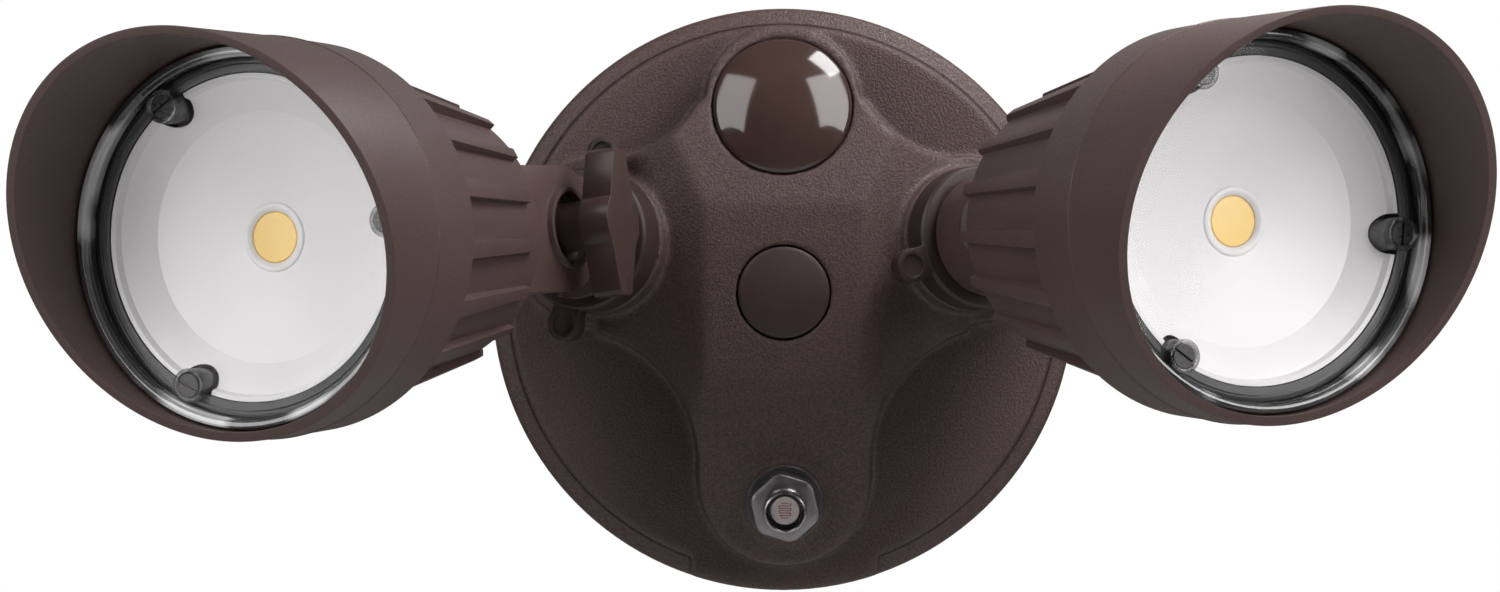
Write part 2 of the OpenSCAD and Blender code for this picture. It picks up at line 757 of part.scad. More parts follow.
module housing_hollow() {
    wall = housing_wall + rib_depth;
    rotate_extrude() polygon([
        [0, rib_rear_z + 2], [driver_seat_r - 3, rib_rear_z + 2], [driver_seat_r, rib_rear_z + 8],
        [driver_seat_r, driver_z], [driver_r + slip, driver_z],
        [driver_r + slip, driver_z + 4], [crest_r(plate_z - 6) - wall, plate_z - 6],
        [plate_seat_r, plate_z - 4], [plate_seat_r, plate_z], [bore_r, plate_z],
        [bore_r, front_z + 1], [0, front_z + 1]
    ]);
}

module screw_circle() {
    for (post = [0 : lens_screw_count - 1])
        rotate([0, 0, post * 360 / lens_screw_count]) translate([lens_screw_circle, 0, 0]) children();
}

module housing(side) {
    color(bronze) on_head(side) difference() {
        union() {
            difference() {
                union() {
                    housing_core();
                    housing_ribs();
                }
                housing_hollow();
                translate([-head_shift, 0, 0]) {
                    bar_x(arm_r + 0.6, -far, head_face_x);
                    translate([-far, -far, -far]) cube([far + head_face_x, 2 * far, far + 2]);
                    bar_x(knuckle_room, head_ear_x - 1.2, far);
                }
            }
            difference() {
                intersection() {
                    housing_core();
                    translate([-head_shift, 0, 0]) bar_x(knuckle_room, head_ear_x - 1.3, far);
                }
                translate([-head_shift, 0, 0]) bar_x(wing_span / 2 + 0.8, head_ear_x - 2, far);
                housing_hollow();
            }
            housing_ear();
            intersection() {
                screw_circle() translate([0, 0, plate_z - 5])
                    cylinder(r = screw_post_r, h = front_z - lens_boss_l - plate_z + 4.8);
                cylinder(r = barrel_r - 0.2, h = front_z);
            }
        }
        translate([-head_shift, 0, 0]) {
            bar_x(nut_seat_r, nut_floor_x, head_ear_x + 1);
            bar_x(bolt_r + turn_fit, head_face_x - 1, nut_floor_x + 1);
        }
        screw_circle() translate([0, 0, plate_z + 2]) cylinder(r = lens_screw_r, h = 30);
        screw_circle() translate([0, 0, front_z - lens_boss_l - 0.2])
            cylinder(r = screw_post_r, h = lens_boss_l + 1);
        translate([-2, 0, 8]) cylinder(r = 3, h = rib_rear_z);
    }
}

// Outer and inner radius of the hood at a place along the head.
function hood_r(z) =
    hood_crease_r + (hood_front_r - hood_crease_r) * (z - crease_z) / (hood_front_z - crease_z);

module hood(side) {
    lean = atan(hood_rake / hood_r(rim_z + hood_reach));
    color(bronze) on_head(side) rotate([0, 0, hood_turn_of(side)]) difference() {
        rotate_extrude() polygon([
            [barrel_r + slip, collar_z + slip], [hood_rear_r - 0.6, collar_z + slip],
            [hood_rear_r, collar_z + slip + 0.8], [hood_crease_r, crease_z],
            [hood_front_r + 1, hood_front_z + 15], [hood_front_r + 1 - hood_wall, hood_front_z + 15],
            [lens_r + slip, front_z - 0.6], [barrel_r + slip, front_z - 0.6]
        ]);
        translate([0, 0, rim_z + hood_reach]) rotate([lean, 0, 0])
            translate([-far, -far, 0]) cube([2 * far, 2 * far, far]);
    }
}

module lens(side) {
    color([0.9, 0.93, 0.95, 0.3]) on_head(side) difference() {
        union() {
            translate([0, 0, lens_z]) cylinder(r = lens_r, h = lens_t);
            translate([0, 0, lens_z + lens_t]) tube(lens_r, lens_r - 1.6, lens_rim_h);
            screw_circle() translate([0, 0, front_z - lens_boss_l])
                cylinder(r = lens_boss_r, h = lens_boss_l + lens_t);
        }
        screw_circle() {
            translate([0, 0, front_z - lens_boss_l - 1]) cylinder(r = lens_screw_r, h = 20);
            translate([0, 0, lens_screw_seat]) cylinder(r = 2.3, h = 20);
        }
    }
}

module lens_gasket(side) {
    color([0.05, 0.05, 0.05]) on_head(side) difference() {
        translate([0, 0, front_z]) tube(barrel_r - 0.2, bore_r, gasket_t);
        screw_circle() translate([0, 0, front_z - 1]) cylinder(r = screw_post_r, h = 3);
    }
}

module lens_screws(side) {
    color([0.4, 0.4, 0.42]) on_head(side) screw_circle() difference() {
        union() {
            translate([0, 0, plate_z + 2.2]) cylinder(r = lens_screw_r, h = lens_screw_seat - plate_z - 2);
            translate([0, 0, lens_screw_seat]) cylinder(r = 2.2, h = lens_screw_head_t);
        }
        translate([-0.3, -3, lens_screw_seat + 1]) cube([0.6, 6, 2]);
    }
}

module reflector(side) {
    lip = 0.9;
    floor_z = board_z + board_t;
    color([0.95, 0.95, 0.96]) on_head(side) difference() {
        rotate_extrude() polygon([
            [holder_r + slip, floor_z], [holder_r + 3, floor_z],
            [holder_r + 3 + 0.62 * (reflector_r - holder_r), floor_z + 0.3 * (rim_z - floor_z)],
            [reflector_r, rim_z - 3.4], [reflector_r, front_z],
            [reflector_r - lip, front_z], [reflector_r - lip - 0.4, rim_z - 3],
            [holder_r + 2.2 + 0.62 * (reflector_r - holder_r), floor_z + lip + 0.3 * (rim_z - floor_z)],
            [holder_r + slip, floor_z + lip]
        ]);
        screw_circle() translate([0, 0, floor_z - 1]) cylinder(r = screw_post_r + 0.3, h = 30);
    }
}

module heat_plate(side) {
    color([0.75, 0.76, 0.78]) on_head(side) difference() {
        translate([0, 0, plate_z]) cylinder(r = plate_r, h = plate_t);
        screw_circle() translate([0, 0, plate_z - 1]) cylinder(r = screw_post_r + 0.2, h = plate_t + 2);
        translate([0, 14, plate_z - 1]) cylinder(r = 2, h = plate_t + 2);
    }
}

module led_board(side) {
    color([0.9, 0.9, 0.88]) on_head(side) translate([0, 0, board_z]) cylinder(r = holder_r + 5, h = board_t);
}

module led_disc(side) {
    color([1, 0.8, 0.4]) on_head(side) translate([0, 0, board_z + board_t]) cylinder(r = chip_r, h = 0.8);
}

module led_holder(side) {
    color([0.98, 0.98, 0.98]) on_head(side) translate([0, 0, board_z + board_t]) difference() {
        cylinder(r = holder_r, h = 1.4);
        translate([0, 0, -1]) cylinder(r = chip_r, h = 3);
        translate([0, 0, 0.8]) cylinder(r1 = chip_r, r2 = chip_r + 0.8, h = 0.8);
    }
}

module driver(side) {
    color([0.1, 0.4, 0.25]) on_head(side) translate([0, 0, driver_z]) {
        cylinder(r = driver_r, h = board_t);
        translate([-0.5 * driver_r, -0.26 * driver_r, board_t - eps])
            cube([0.6 * driver_r, 0.5 * driver_r, 0.4 * driver_r]);
        translate([0.44 * driver_r, 0.1 * driver_r, board_t - eps])
            cylinder(r = 0.2 * driver_r, h = 0.48 * driver_r);
        translate([0.35 * driver_r, -0.52 * driver_r, board_t - eps])
            cylinder(r = 0.13 * driver_r, h = 0.3 * driver_r);
        translate([-0.52 * driver_r, 0.4 * driver_r, board_t - eps])
            cube([0.35 * driver_r, 0.22 * driver_r, 0.26 * driver_r]);
    }
}

canopy();
wall_gasket();
crossbar();
mounting_screw();
ground_screw();
screw_cap();
sensor_blank();
blank_nut();
photocell_barrel();
photocell_nut();
photocell_washer();
photocell_disc();
photocell_window();
lock_ring(LEFT);  // left_lock_ring
arm(LEFT);  // left_arm
tooth_washer(LEFT);  // left_tooth_washer
pivot_bolt(LEFT);  // left_pivot_bolt
wing_nut(LEFT);  // left_wing_nut
housing(LEFT);  // left_housing
hood(LEFT);  // left_hood
lens(LEFT);  // left_lens
lens_gasket(LEFT);  // left_lens_gasket
lens_screws(LEFT);  // left_lens_screws
reflector(LEFT);  // left_reflector
heat_plate(LEFT);  // left_heat_plate
led_board(LEFT);  // left_led_board
led_disc(LEFT);  // left_led_disc
led_holder(LEFT);  // left_led_holder
driver(LEFT);  // left_driver
lock_ring(RIGHT);  // right_lock_ring
arm(RIGHT);  // right_arm
tooth_washer(RIGHT);  // right_tooth_washer
pivot_bolt(RIGHT);  // right_pivot_bolt
wing_nut(RIGHT);  // right_wing_nut
housing(RIGHT);  // right_housing
hood(RIGHT);  // right_hood
lens(RIGHT);  // right_lens
lens_gasket(RIGHT);  // right_lens_gasket
lens_screws(RIGHT);  // right_lens_screws
reflector(RIGHT);  // right_reflector
heat_plate(RIGHT);  // right_heat_plate
led_board(RIGHT);  // right_led_board
led_disc(RIGHT);  // right_led_disc
led_holder(RIGHT);  // right_led_holder
driver(RIGHT);  // right_driver
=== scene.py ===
import json
import math

import bmesh
import bpy
from bpy.props import FloatProperty, FloatVectorProperty, IntProperty, PointerProperty
from mathutils import Matrix, Vector


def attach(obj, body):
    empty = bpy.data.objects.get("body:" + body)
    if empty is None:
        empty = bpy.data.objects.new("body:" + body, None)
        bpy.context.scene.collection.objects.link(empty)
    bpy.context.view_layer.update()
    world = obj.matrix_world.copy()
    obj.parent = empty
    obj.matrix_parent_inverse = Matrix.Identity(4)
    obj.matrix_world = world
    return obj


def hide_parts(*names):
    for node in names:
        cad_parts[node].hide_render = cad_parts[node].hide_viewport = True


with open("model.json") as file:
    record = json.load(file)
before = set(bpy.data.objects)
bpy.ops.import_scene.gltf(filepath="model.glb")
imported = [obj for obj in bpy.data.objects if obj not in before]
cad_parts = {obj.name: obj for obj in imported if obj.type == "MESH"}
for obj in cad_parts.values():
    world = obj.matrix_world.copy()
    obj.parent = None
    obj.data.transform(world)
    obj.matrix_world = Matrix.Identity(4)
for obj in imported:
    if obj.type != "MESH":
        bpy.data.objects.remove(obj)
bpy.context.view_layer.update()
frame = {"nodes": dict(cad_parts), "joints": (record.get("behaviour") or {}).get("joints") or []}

bl_info = {
    "name": "Security Light",
    "version": (1, 0, 0),
    "blender": (4, 5, 0),
    "location": "View3D > Sidebar > Light",
    "description": "Dresses the two-headed security light with its castings, lenses and finishes",
    "category": "Object",
}

SIDES = ("left", "right")
MM = 0.001

# Heights and angles of the casting, in millimetres and degrees, as the frame has them.
HUB_HEIGHT = 32.0
ARM_FALL = 12.5
FLAT_TOP = 19.0
FLAT_BOTTOM = 17.5
BLANK_UP = 39.0
SENSOR_DOWN = 41.6
SENSOR_TOP = 8.9
CAP_UP = 1.0
RIM = 101.8
LENS_BASE = 101.0
BOARD_FACE = 91.0
SCREW_CIRCLE = 30.3
HOOD_TURN = {"left": 12.0, "right": -4.0}

# The crease near the wall plate's rim, painted as a dark line of shade with a little relief, in
# metres: its radius, its width and the tab that breaks it.
CREASE_RADIUS = 0.0566
CREASE_WIDTH = 0.0003
TAB_WIDTH = 0.0385

# The camera's small turns in degrees and its shift to the side and up in metres.
CAMERA_ROLL = -0.32
CAMERA_TILT = -0.74
CAMERA_PAN = 0.05
CAMERA_SIDE = -0.00681
CAMERA_UP = 0.00071


# Settings


class CoverSettings(bpy.types.PropertyGroup):
    """Sizes of the wall plate and of what sits on it."""

    skin: FloatProperty(
        name="Casting detail", description="Spacing of the casting's skin",
        default=0.0006, min=0.0004, max=0.002, unit="LENGTH")
    dome_radius: FloatProperty(
        name="Domed cover radius", description="Radius of the glossy cover in the upper arm",
        default=0.0141, unit="LENGTH")
    dome_height: FloatProperty(
        name="Domed cover height", description="How far the cover's crown stands over its edge",
        default=0.0036, unit="LENGTH")
    plug_radius: FloatProperty(
        name="Screw cap radius", description="Radius of the cap over the centre screw",
        default=0.0093, unit="LENGTH")
    nut_width: FloatProperty(
        name="Sensor nut width", description="Width across the flats of the light sensor's nut",
        default=0.013, unit="LENGTH")


class HeadSettings(bpy.types.PropertyGroup):
    """Sizes of the lamp heads."""

    edge: FloatProperty(
        name="Housing edges", description="Rounding of the housings' edges",
        default=0.0003, min=0.0001, max=0.0008, unit="LENGTH")
    hood_rear: FloatProperty(
        name="Hood rear radius", description="Outer radius of the hood's collar",
        default=0.0369, unit="LENGTH")
    hood_crease: FloatProperty(
        name="Hood crease radius", description="Outer radius where the visor starts to flare",
        default=0.0377, unit="LENGTH")
    hood_flare: FloatProperty(
        name="Hood front radius", description="Outer radius of the visor at its longest side",
        default=0.0388, unit="LENGTH")
    hood_wall: FloatProperty(
        name="Hood wall", description="Thickness of the visor", default=0.0015, unit="LENGTH")
    hood_reach: FloatProperty(
        name="Hood reach", description="How far the visor's cut stands in front of the lens",
        default=0.0168, unit="LENGTH")
    hood_rake: FloatProperty(
        name="Hood rake", description="Extra reach of the visor's long side over its middle",
        default=0.0139, unit="LENGTH")
    lens_radius: FloatProperty(
        name="Lens radius", description="Outer radius of the clear lens",
        default=0.0356, unit="LENGTH")
    steps: IntProperty(
        name="Turned steps", description="Steps round each turned piece", default=160, min=32,
        max=256)


class FinishSettings(bpy.types.PropertyGroup):
    """Colours of the finishes."""

    bronze: FloatVectorProperty(
        name="Bronze paint", description="Colour of the painted castings", subtype="COLOR",
        size=3, min=0, max=1, default=(0.055, 0.034, 0.031))
    gloss_bronze: FloatVectorProperty(
        name="Glossy cover", description="Colour of the glossy domed cover", subtype="COLOR",
        size=3, min=0, max=1, default=(0.036, 0.021, 0.018))
    white: FloatVectorProperty(
        name="Reflector white", description="Colour of the reflectors", subtype="COLOR",
        size=3, min=0, max=1, default=(0.86, 0.84, 0.85))
    phosphor: FloatVectorProperty(
        name="Light source", description="Colour of the unlit light source", subtype="COLOR",
        size=3, min=0, max=1, default=(0.91, 0.62, 0.20))


class StageSettings(bpy.types.PropertyGroup):
    """Camera, lamps and floor."""

    distance: FloatProperty(
        name="Camera distance", description="Distance from the camera to the wall plate",
        default=1.3, unit="LENGTH")
    lens: FloatProperty(
        name="Focal length", description="Focal length of the camera", default=150.38,
        min=20, max=400)
    left_light: FloatProperty(
        name="Left light", description="Brightness of the tall left softbox", default=5.0, min=0)
    right_light: FloatProperty(
        name="Right light", description="Brightness of the tall right softbox", default=7.3, min=0)
    top_light: FloatProperty(
        name="Top light", description="Brightness of the small softbox above", default=7.5, min=0)
    grazing_light: FloatProperty(
        name="Grazing light", description="Brightness of the small softbox close to the plate",
        default=18.0, min=0)
    room_light: FloatProperty(
        name="Room light", description="Brightness of the room", default=0.03, min=0)


# Places


def joint(name):
    """The frame's joint of that name."""
    return next(j for j in frame["joints"] if j["name"] == name)


def axes(origin, across, along):
    """A place whose X is across and whose Z is along."""
    along = Vector(along).normalized()
    across = Vector(across)
    across = (across - along * across.dot(along)).normalized()
    up = along.cross(across)
    place = Matrix.Identity(4)
    for column, axis in enumerate((across, up, along, Vector(origin))):
        for row in range(3):
            place[row][column] = axis[row]
    return place


def head_place(side):
    """Place of a head: origin level with the pivot, Z out through the lens, X along the pivot."""
    tilt = joint(side + "_tilt")
    turn = joint(side + "_hood_turn")
    along = Vector(turn["axis"]).normalized()
    if along.y > 0:
        along = -along
    pivot = Vector(tilt["pos_m"])
    on_axis = Vector(turn["pos_m"])
    origin = on_axis + along * (pivot - on_axis).dot(along)
    return axes(origin, tilt["axis"], along)


def face_place(up, height, lean):
    """Place on the front of the wall plate, Z outwards, turned up by lean degrees."""
    turn = Matrix.Rotation(math.radians(-lean), 4, "X") @ Matrix.Rotation(math.radians(90), 4, "X")
    return Matrix.Translation((0, -height * MM, up * MM)) @ turn


def upper_arm_place():
    """Place of the domed cover, on the slope of the hub's upper arm."""
    fall = math.tan(math.radians(ARM_FALL))
    return face_place(BLANK_UP, HUB_HEIGHT - (BLANK_UP - FLAT_TOP) * fall, ARM_FALL)


def lower_arm_place():
    """Place of the light sensor, on the slope of the hub's lower arm."""
    fall = math.tan(math.radians(ARM_FALL))
    return face_place(-SENSOR_DOWN, HUB_HEIGHT - (SENSOR_DOWN - FLAT_BOTTOM) * fall, -ARM_FALL)


def centre_place():
    """Place of the screw cap, on the axis of the mounting screw."""
    return face_place(CAP_UP, 0, 0)


# Mesh tools


def add_piece(name, bm, material, body, nodes=(), smooth=40):
    """Makes a finished piece of a bmesh, and hangs it on its body of the frame."""
    mesh = bpy.data.meshes.new(name)
    bm.to_mesh(mesh)
    bm.free()
    piece = bpy.data.objects.new(name, mesh)
    bpy.context.scene.collection.objects.link(piece)
    mesh.materials.append(material)
    mesh.polygons.foreach_set("use_smooth", [True] * len(mesh.polygons))
    mesh.set_sharp_from_angle(angle=math.radians(smooth))
    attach(piece, body)
    if nodes:
        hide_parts(*nodes)
    return piece


def ease_edges(bm, width, above=30, segments=3):
    """Rounds every edge that turns by more than an angle."""
    sharp = [e for e in bm.edges if e.is_manifold and e.calc_face_angle(0) > math.radians(above)]
    bmesh.ops.bevel(
        bm, geom=sharp, offset=width, offset_type="OFFSET", affect="EDGES", segments=segments,
        profile=0.5, material=-1, clamp_overlap=True)


def turned(points, place, steps=160, ring=False, ease=0.0):
    """Spins a section round Z. Points are radius and height in millimetres."""
    bm = bmesh.new()
    verts = [bm.verts.new((r * MM, 0, h * MM)) for r, h in points]
    edges = [bm.edges.new(pair) for pair in zip(verts, verts[1:])]
    if ring:
        edges.append(bm.edges.new((verts[-1], verts[0])))
    bmesh.ops.spin(
        bm, geom=verts + edges, cent=(0, 0, 0), axis=(0, 0, 1), angle=2 * math.pi, steps=steps,
        use_merge=True, use_duplicate=False)
    bmesh.ops.remove_doubles(bm, verts=bm.verts, dist=1e-7)
    bmesh.ops.dissolve_degenerate(bm, edges=bm.edges, dist=1e-8)
    bmesh.ops.recalc_face_normals(bm, faces=bm.faces)
    if ease:
        ease_edges(bm, ease * MM)
    bm.transform(place)
    return bm


def merged(node):
    """A copy of a frame node's mesh with its loose triangles joined."""
    bm = bmesh.new()
    bm.from_mesh(frame["nodes"][node].data)
    bmesh.ops.remove_doubles(bm, verts=bm.verts, dist=1e-6)
    return bm


def eased_copy(node, width, above=28, segments=2):
    """A copy of a node with flat faces joined and its edges rounded."""
    bm = merged(node)
    bmesh.ops.dissolve_limit(
        bm, angle_limit=math.radians(0.6), use_dissolve_boundaries=False, verts=bm.verts,
        edges=bm.edges, delimit={"NORMAL"})
    ease_edges(bm, width * MM, above, segments)
    return bm


def cast_skin(node, spacing):
    """A copy of a node remade as one even skin, ready to be eased like a casting."""
    bm = merged(node)
    rough = bpy.data.meshes.new(node + "_rough")
    bm.to_mesh(rough)
    bm.free()
    holder = bpy.data.objects.new(node + "_rough", rough)
    bpy.context.scene.collection.objects.link(holder)
    remesh = holder.modifiers.new("skin", "REMESH")
    remesh.mode = "VOXEL"
    remesh.voxel_size = spacing
    remesh.adaptivity = 0.0
    graph = bpy.context.evaluated_depsgraph_get()
    skin = bmesh.new()
    skin.from_object(holder, graph)
    bpy.data.objects.remove(holder)
    bpy.data.meshes.remove(rough)
    return skin


def relax(bm, rounds, wanted=None):
    """Evens out the skin where wanted says so."""
    verts = [v for v in bm.verts if wanted is None or wanted(v.co)]
    for _ in range(rounds):
        bmesh.ops.smooth_vert(
            bm, verts=verts, factor=0.5, use_axis_x=True, use_axis_y=True, use_axis_z=True)


# Finishes


def fresh_material(name):
    """A new material with its nodes, links and shader."""
    material = bpy.data.materials.new(name)
    material.use_nodes = True
    nodes, links = material.node_tree.nodes, material.node_tree.links
    return material, nodes, links, nodes["Principled BSDF"]


def noise_of(nodes, links, scale, detail=2.0, roughness=0.5, stretch=None):
    """Noise on the piece's own coordinates."""
    where = nodes.new("ShaderNodeTexCoord")
    noise = nodes.new("ShaderNodeTexNoise")
    noise.inputs["Scale"].default_value = scale
    noise.inputs["Detail"].default_value = detail
    noise.inputs["Roughness"].default_value = roughness
    if stretch:
        mapping = nodes.new("ShaderNodeMapping")
        mapping.inputs["Scale"].default_value = stretch
        links.new(where.outputs["Object"], mapping.inputs["Vector"])
        links.new(mapping.outputs["Vector"], noise.inputs["Vector"])
    else:
        links.new(where.outputs["Object"], noise.inputs["Vector"])
    return noise.outputs["Fac"]


def ramp_of(nodes, links, source, low, high, start=0.35, end=0.65):
    """Turns noise into a run from one colour to another."""
    ramp = nodes.new("ShaderNodeValToRGB")
    ramp.color_ramp.elements[0].position = start
    ramp.color_ramp.elements[1].position = end
    ramp.color_ramp.elements[0].color = (*low, 1)
    ramp.color_ramp.elements[1].color = (*high, 1)
    links.new(source, ramp.inputs["Fac"])
    return ramp.outputs["Color"]


def multiplied(nodes, links, first, second):
    """Two colours multiplied."""
    mix = nodes.new("ShaderNodeMix")
    mix.data_type = "RGBA"
    mix.blend_type = "MULTIPLY"
    mix.inputs["Factor"].default_value = 1.0
    links.new(first, mix.inputs["A"])
    links.new(second, mix.inputs["B"])
    return mix.outputs["Result"]


def math_of(nodes, links, operation, first, second=None):
    """A sum, product or the like of two sources or numbers."""
    node = nodes.new("ShaderNodeMath")
    node.operation = operation
    for socket, value in zip(node.inputs, (first, second)):
        if isinstance(value, float):
            socket.default_value = value
        elif value is not None:
            links.new(value, socket)
    return node.outputs["Value"]


def ring_line(nodes, links, radius, width, tab):
    """Nought on a circle round the wall plate's axis, rising to one at width from it.

    The circle is left out across the tab at the bottom.
    """
    where = nodes.new("ShaderNodeTexCoord")
    flat = nodes.new("ShaderNodeVectorMath")
    flat.operation = "MULTIPLY"
    flat.inputs[1].default_value = (1, 0, 1)
    links.new(where.outputs["Object"], flat.inputs[0])
    length = nodes.new("ShaderNodeVectorMath")
    length.operation = "LENGTH"
    links.new(flat.outputs["Vector"], length.inputs[0])
    off = math_of(nodes, links, "SUBTRACT", length.outputs["Value"], radius)
    away = math_of(nodes, links, "ABSOLUTE", off)
    rise = nodes.new("ShaderNodeMapRange")
    rise.interpolation_type = "SMOOTHSTEP"
    rise.inputs["From Max"].default_value = width
    links.new(away, rise.inputs["Value"])
    apart = nodes.new("ShaderNodeSeparateXYZ")
    links.new(where.outputs["Object"], apart.inputs["Vector"])
    across = math_of(nodes, links, "ABSOLUTE", apart.outputs["X"])
    inside = math_of(nodes, links, "LESS_THAN", across, tab / 2)
    below = math_of(nodes, links, "LESS_THAN", apart.outputs["Z"], 0.0)
    on_tab = math_of(nodes, links, "MULTIPLY", inside, below)
    return math_of(nodes, links, "MAXIMUM", rise.outputs["Result"], on_tab)


def bump_of(nodes, links, shader, source, strength, depth, before=None):
    """Adds relief to the shader, on top of any relief before it."""
    bump = nodes.new("ShaderNodeBump")
    bump.inputs["Strength"].default_value = strength
    bump.inputs["Distance"].default_value = depth
    links.new(source, bump.inputs["Height"])
    if before:
        links.new(before, bump.inputs["Normal"])
    links.new(bump.outputs["Normal"], shader.inputs["Normal"])
    return bump.outputs["Normal"]


def scaled(colour, factor):
    """A colour made lighter or darker by a factor."""
    return tuple(min(1.0, c * factor) for c in colour)


def grey(value):
    """The grey of that value."""
    return (value, value, value)


def powder_coat(name, colour, grain, relief, depth, rough, contrast, creased=False):
    """Textured powder paint: sand-like relief with the tops of its grain painted lighter, as grain
    tone and painted sparkle, and the plate's crease painted as a dark line of shade.
    """
    material, nodes, links, shader = fresh_material(name)
    shader.inputs["Specular IOR Level"].default_value = 0.3
    sand = noise_of(nodes, links, grain, 3.0, 0.6)
    broad = noise_of(nodes, links, 60, 3.0, 0.5)
    # Grain tone and painted sparkle: the tops of the sand grain are painted lighter and its hollows
    # darker, standing in for light glinting off the grain.
    grain_and_sparkle = ramp_of(
        nodes, links, sand, scaled(colour, 1 - contrast), scaled(colour, 1 + contrast), 0.38, 0.66)
    tint = ramp_of(nodes, links, broad, grey(0.92), grey(1.0), 0.3, 0.7)
    paint = multiplied(nodes, links, grain_and_sparkle, tint)
    normal = None
    if creased:
        # Painted shade: the paint is darkened to 0.3 along a thin line round the plate, left out
        # across the tab, with a little relief as well.
        crease = ring_line(nodes, links, CREASE_RADIUS, CREASE_WIDTH, TAB_WIDTH)
        shade = ramp_of(nodes, links, crease, grey(0.3), grey(1.0), 0, 1)
        paint = multiplied(nodes, links, paint, shade)
        normal = bump_of(nodes, links, shader, crease, 0.8, CREASE_WIDTH)
    links.new(paint, shader.inputs["Base Color"])
    links.new(
        ramp_of(nodes, links, sand, grey(rough + 0.08), grey(rough - 0.08), 0.35, 0.7),
        shader.inputs["Roughness"])
    bump_of(nodes, links, shader, sand, relief, depth, normal)
    return material


def moulded(name, colour, rough, relief=0.05, grain=900, specular=0.5):
    """Moulded plastic or smooth paint with a faint orange-peel surface."""
    material, nodes, links, shader = fresh_material(name)
    peel = noise_of(nodes, links, grain, 2.0, 0.5)
    broad = noise_of(nodes, links, 90, 2.0, 0.5)
    links.new(
        ramp_of(nodes, links, broad, scaled(colour, 0.93), scaled(colour, 1.05), 0.3, 0.7),
        shader.inputs["Base Color"])
    links.new(
        ramp_of(nodes, links, broad, grey(rough * 0.9), grey(rough * 1.15), 0.3, 0.7),
        shader.inputs["Roughness"])
    shader.inputs["Specular IOR Level"].default_value = specular
    bump_of(nodes, links, shader, peel, relief, 0.00005)
    return material


def metal(name, colour, rough, relief, stretch=None):
    """Bare or plated metal with fine drawn marks and slight stains."""
    material, nodes, links, shader = fresh_material(name)
    marks = noise_of(nodes, links, 1500, 3.0, 0.6, stretch)
    stain = noise_of(nodes, links, 120, 3.0, 0.6)
    links.new(
        ramp_of(nodes, links, stain, scaled(colour, 0.85), scaled(colour, 1.08), 0.3, 0.7),
        shader.inputs["Base Color"])
    links.new(
        ramp_of(nodes, links, marks, grey(rough * 0.75), grey(rough * 1.3), 0.3, 0.7),
        shader.inputs["Roughness"])
    shader.inputs["Metallic"].default_value = 1.0
    bump_of(nodes, links, shader, marks, relief, 0.00005)
    return material


def clear_pane(name, alpha):
    """The flat of the lens: nearly invisible clear plastic."""
    material, nodes, links, shader = fresh_material(name)
    haze = noise_of(nodes, links, 80, 2.0, 0.5)
    links.new(ramp_of(nodes, links, haze, grey(0.015), grey(0.03)), shader.inputs["Base Color"])
    shader.inputs["Roughness"].default_value = 0.04
    shader.inputs["Alpha"].default_value = alpha
    material.surface_render_method = "BLENDED"
    return material


def clear_plastic(name, alpha, dark, painted_glint, scale):
    """The lens's rim and screw posts: clear plastic, near-black with patches of painted glints."""
    material, nodes, links, shader = fresh_material(name)
    wave = noise_of(nodes, links, scale, 1.0, 0.4)
    # Painted glints: noise lifts the base colour in patches from near-black to a pale grey,
    # standing in for light caught by the clear plastic; the near-black stands in for the dark seen
    # through it.
    links.new(
        ramp_of(nodes, links, wave, grey(dark), grey(painted_glint), 0.5, 0.64), shader.inputs["Base Color"])
    links.new(ramp_of(nodes, links, wave, grey(0.04), grey(0.09)), shader.inputs["Roughness"])
    shader.inputs["Specular IOR Level"].default_value = 1.0
    shader.inputs["Alpha"].default_value = alpha
    material.surface_render_method = "BLENDED"
    return material


def reflector_white(name, colour):
    """Satin white moulding with a faint flow pattern."""
    material, nodes, links, shader = fresh_material(name)
    flow = noise_of(nodes, links, 70, 2.0, 0.5)
    fine = noise_of(nodes, links, 1200, 2.0, 0.5)
    links.new(
        ramp_of(nodes, links, flow, scaled(colour, 0.97), scaled(colour, 1.01), 0.3, 0.7),
        shader.inputs["Base Color"])
    links.new(
        ramp_of(nodes, links, fine, grey(0.34), grey(0.42), 0.3, 0.7), shader.inputs["Roughness"])
    bump_of(nodes, links, shader, fine, 0.03, 0.00005)
    return material


def phosphor(name, colour):
    """The light source's yellow silicone, paler towards its middle, with a fine grain of chips and
    a faint painted glow.
    """
    material, nodes, links, shader = fresh_material(name)
    grain = noise_of(nodes, links, 1500, 2.0, 0.5)
    links.new(
        ramp_of(nodes, links, grain, scaled(colour, 0.95), scaled(colour, 1.04), 0.35, 0.65),
        shader.inputs["Base Color"])
    shader.inputs["Roughness"].default_value = 0.35
    # Painted glow: a faint emission of the source's own yellow, though the source is unlit and no
    # lamp.
    shader.inputs["Emission Color"].default_value = (*colour, 1)
    shader.inputs["Emission Strength"].default_value = 0.13
    bump_of(nodes, links, shader, grain, 0.1, 0.00005)
    return material


def foam(name, colour):
    """Closed-cell foam with fine open pores on its skin."""
    material, nodes, links, shader = fresh_material(name)
    where = nodes.new("ShaderNodeTexCoord")
    cells = nodes.new("ShaderNodeTexVoronoi")
    cells.inputs["Scale"].default_value = 1400
    links.new(where.outputs["Object"], cells.inputs["Vector"])
    links.new(
        ramp_of(nodes, links, cells.outputs["Distance"], scaled(colour, 0.6), scaled(colour, 1.3),
                0.1, 0.6),
        shader.inputs["Base Color"])
    shader.inputs["Roughness"].default_value = 0.85
    bump_of(nodes, links, shader, cells.outputs["Distance"], 0.4, 0.0002)
    return material


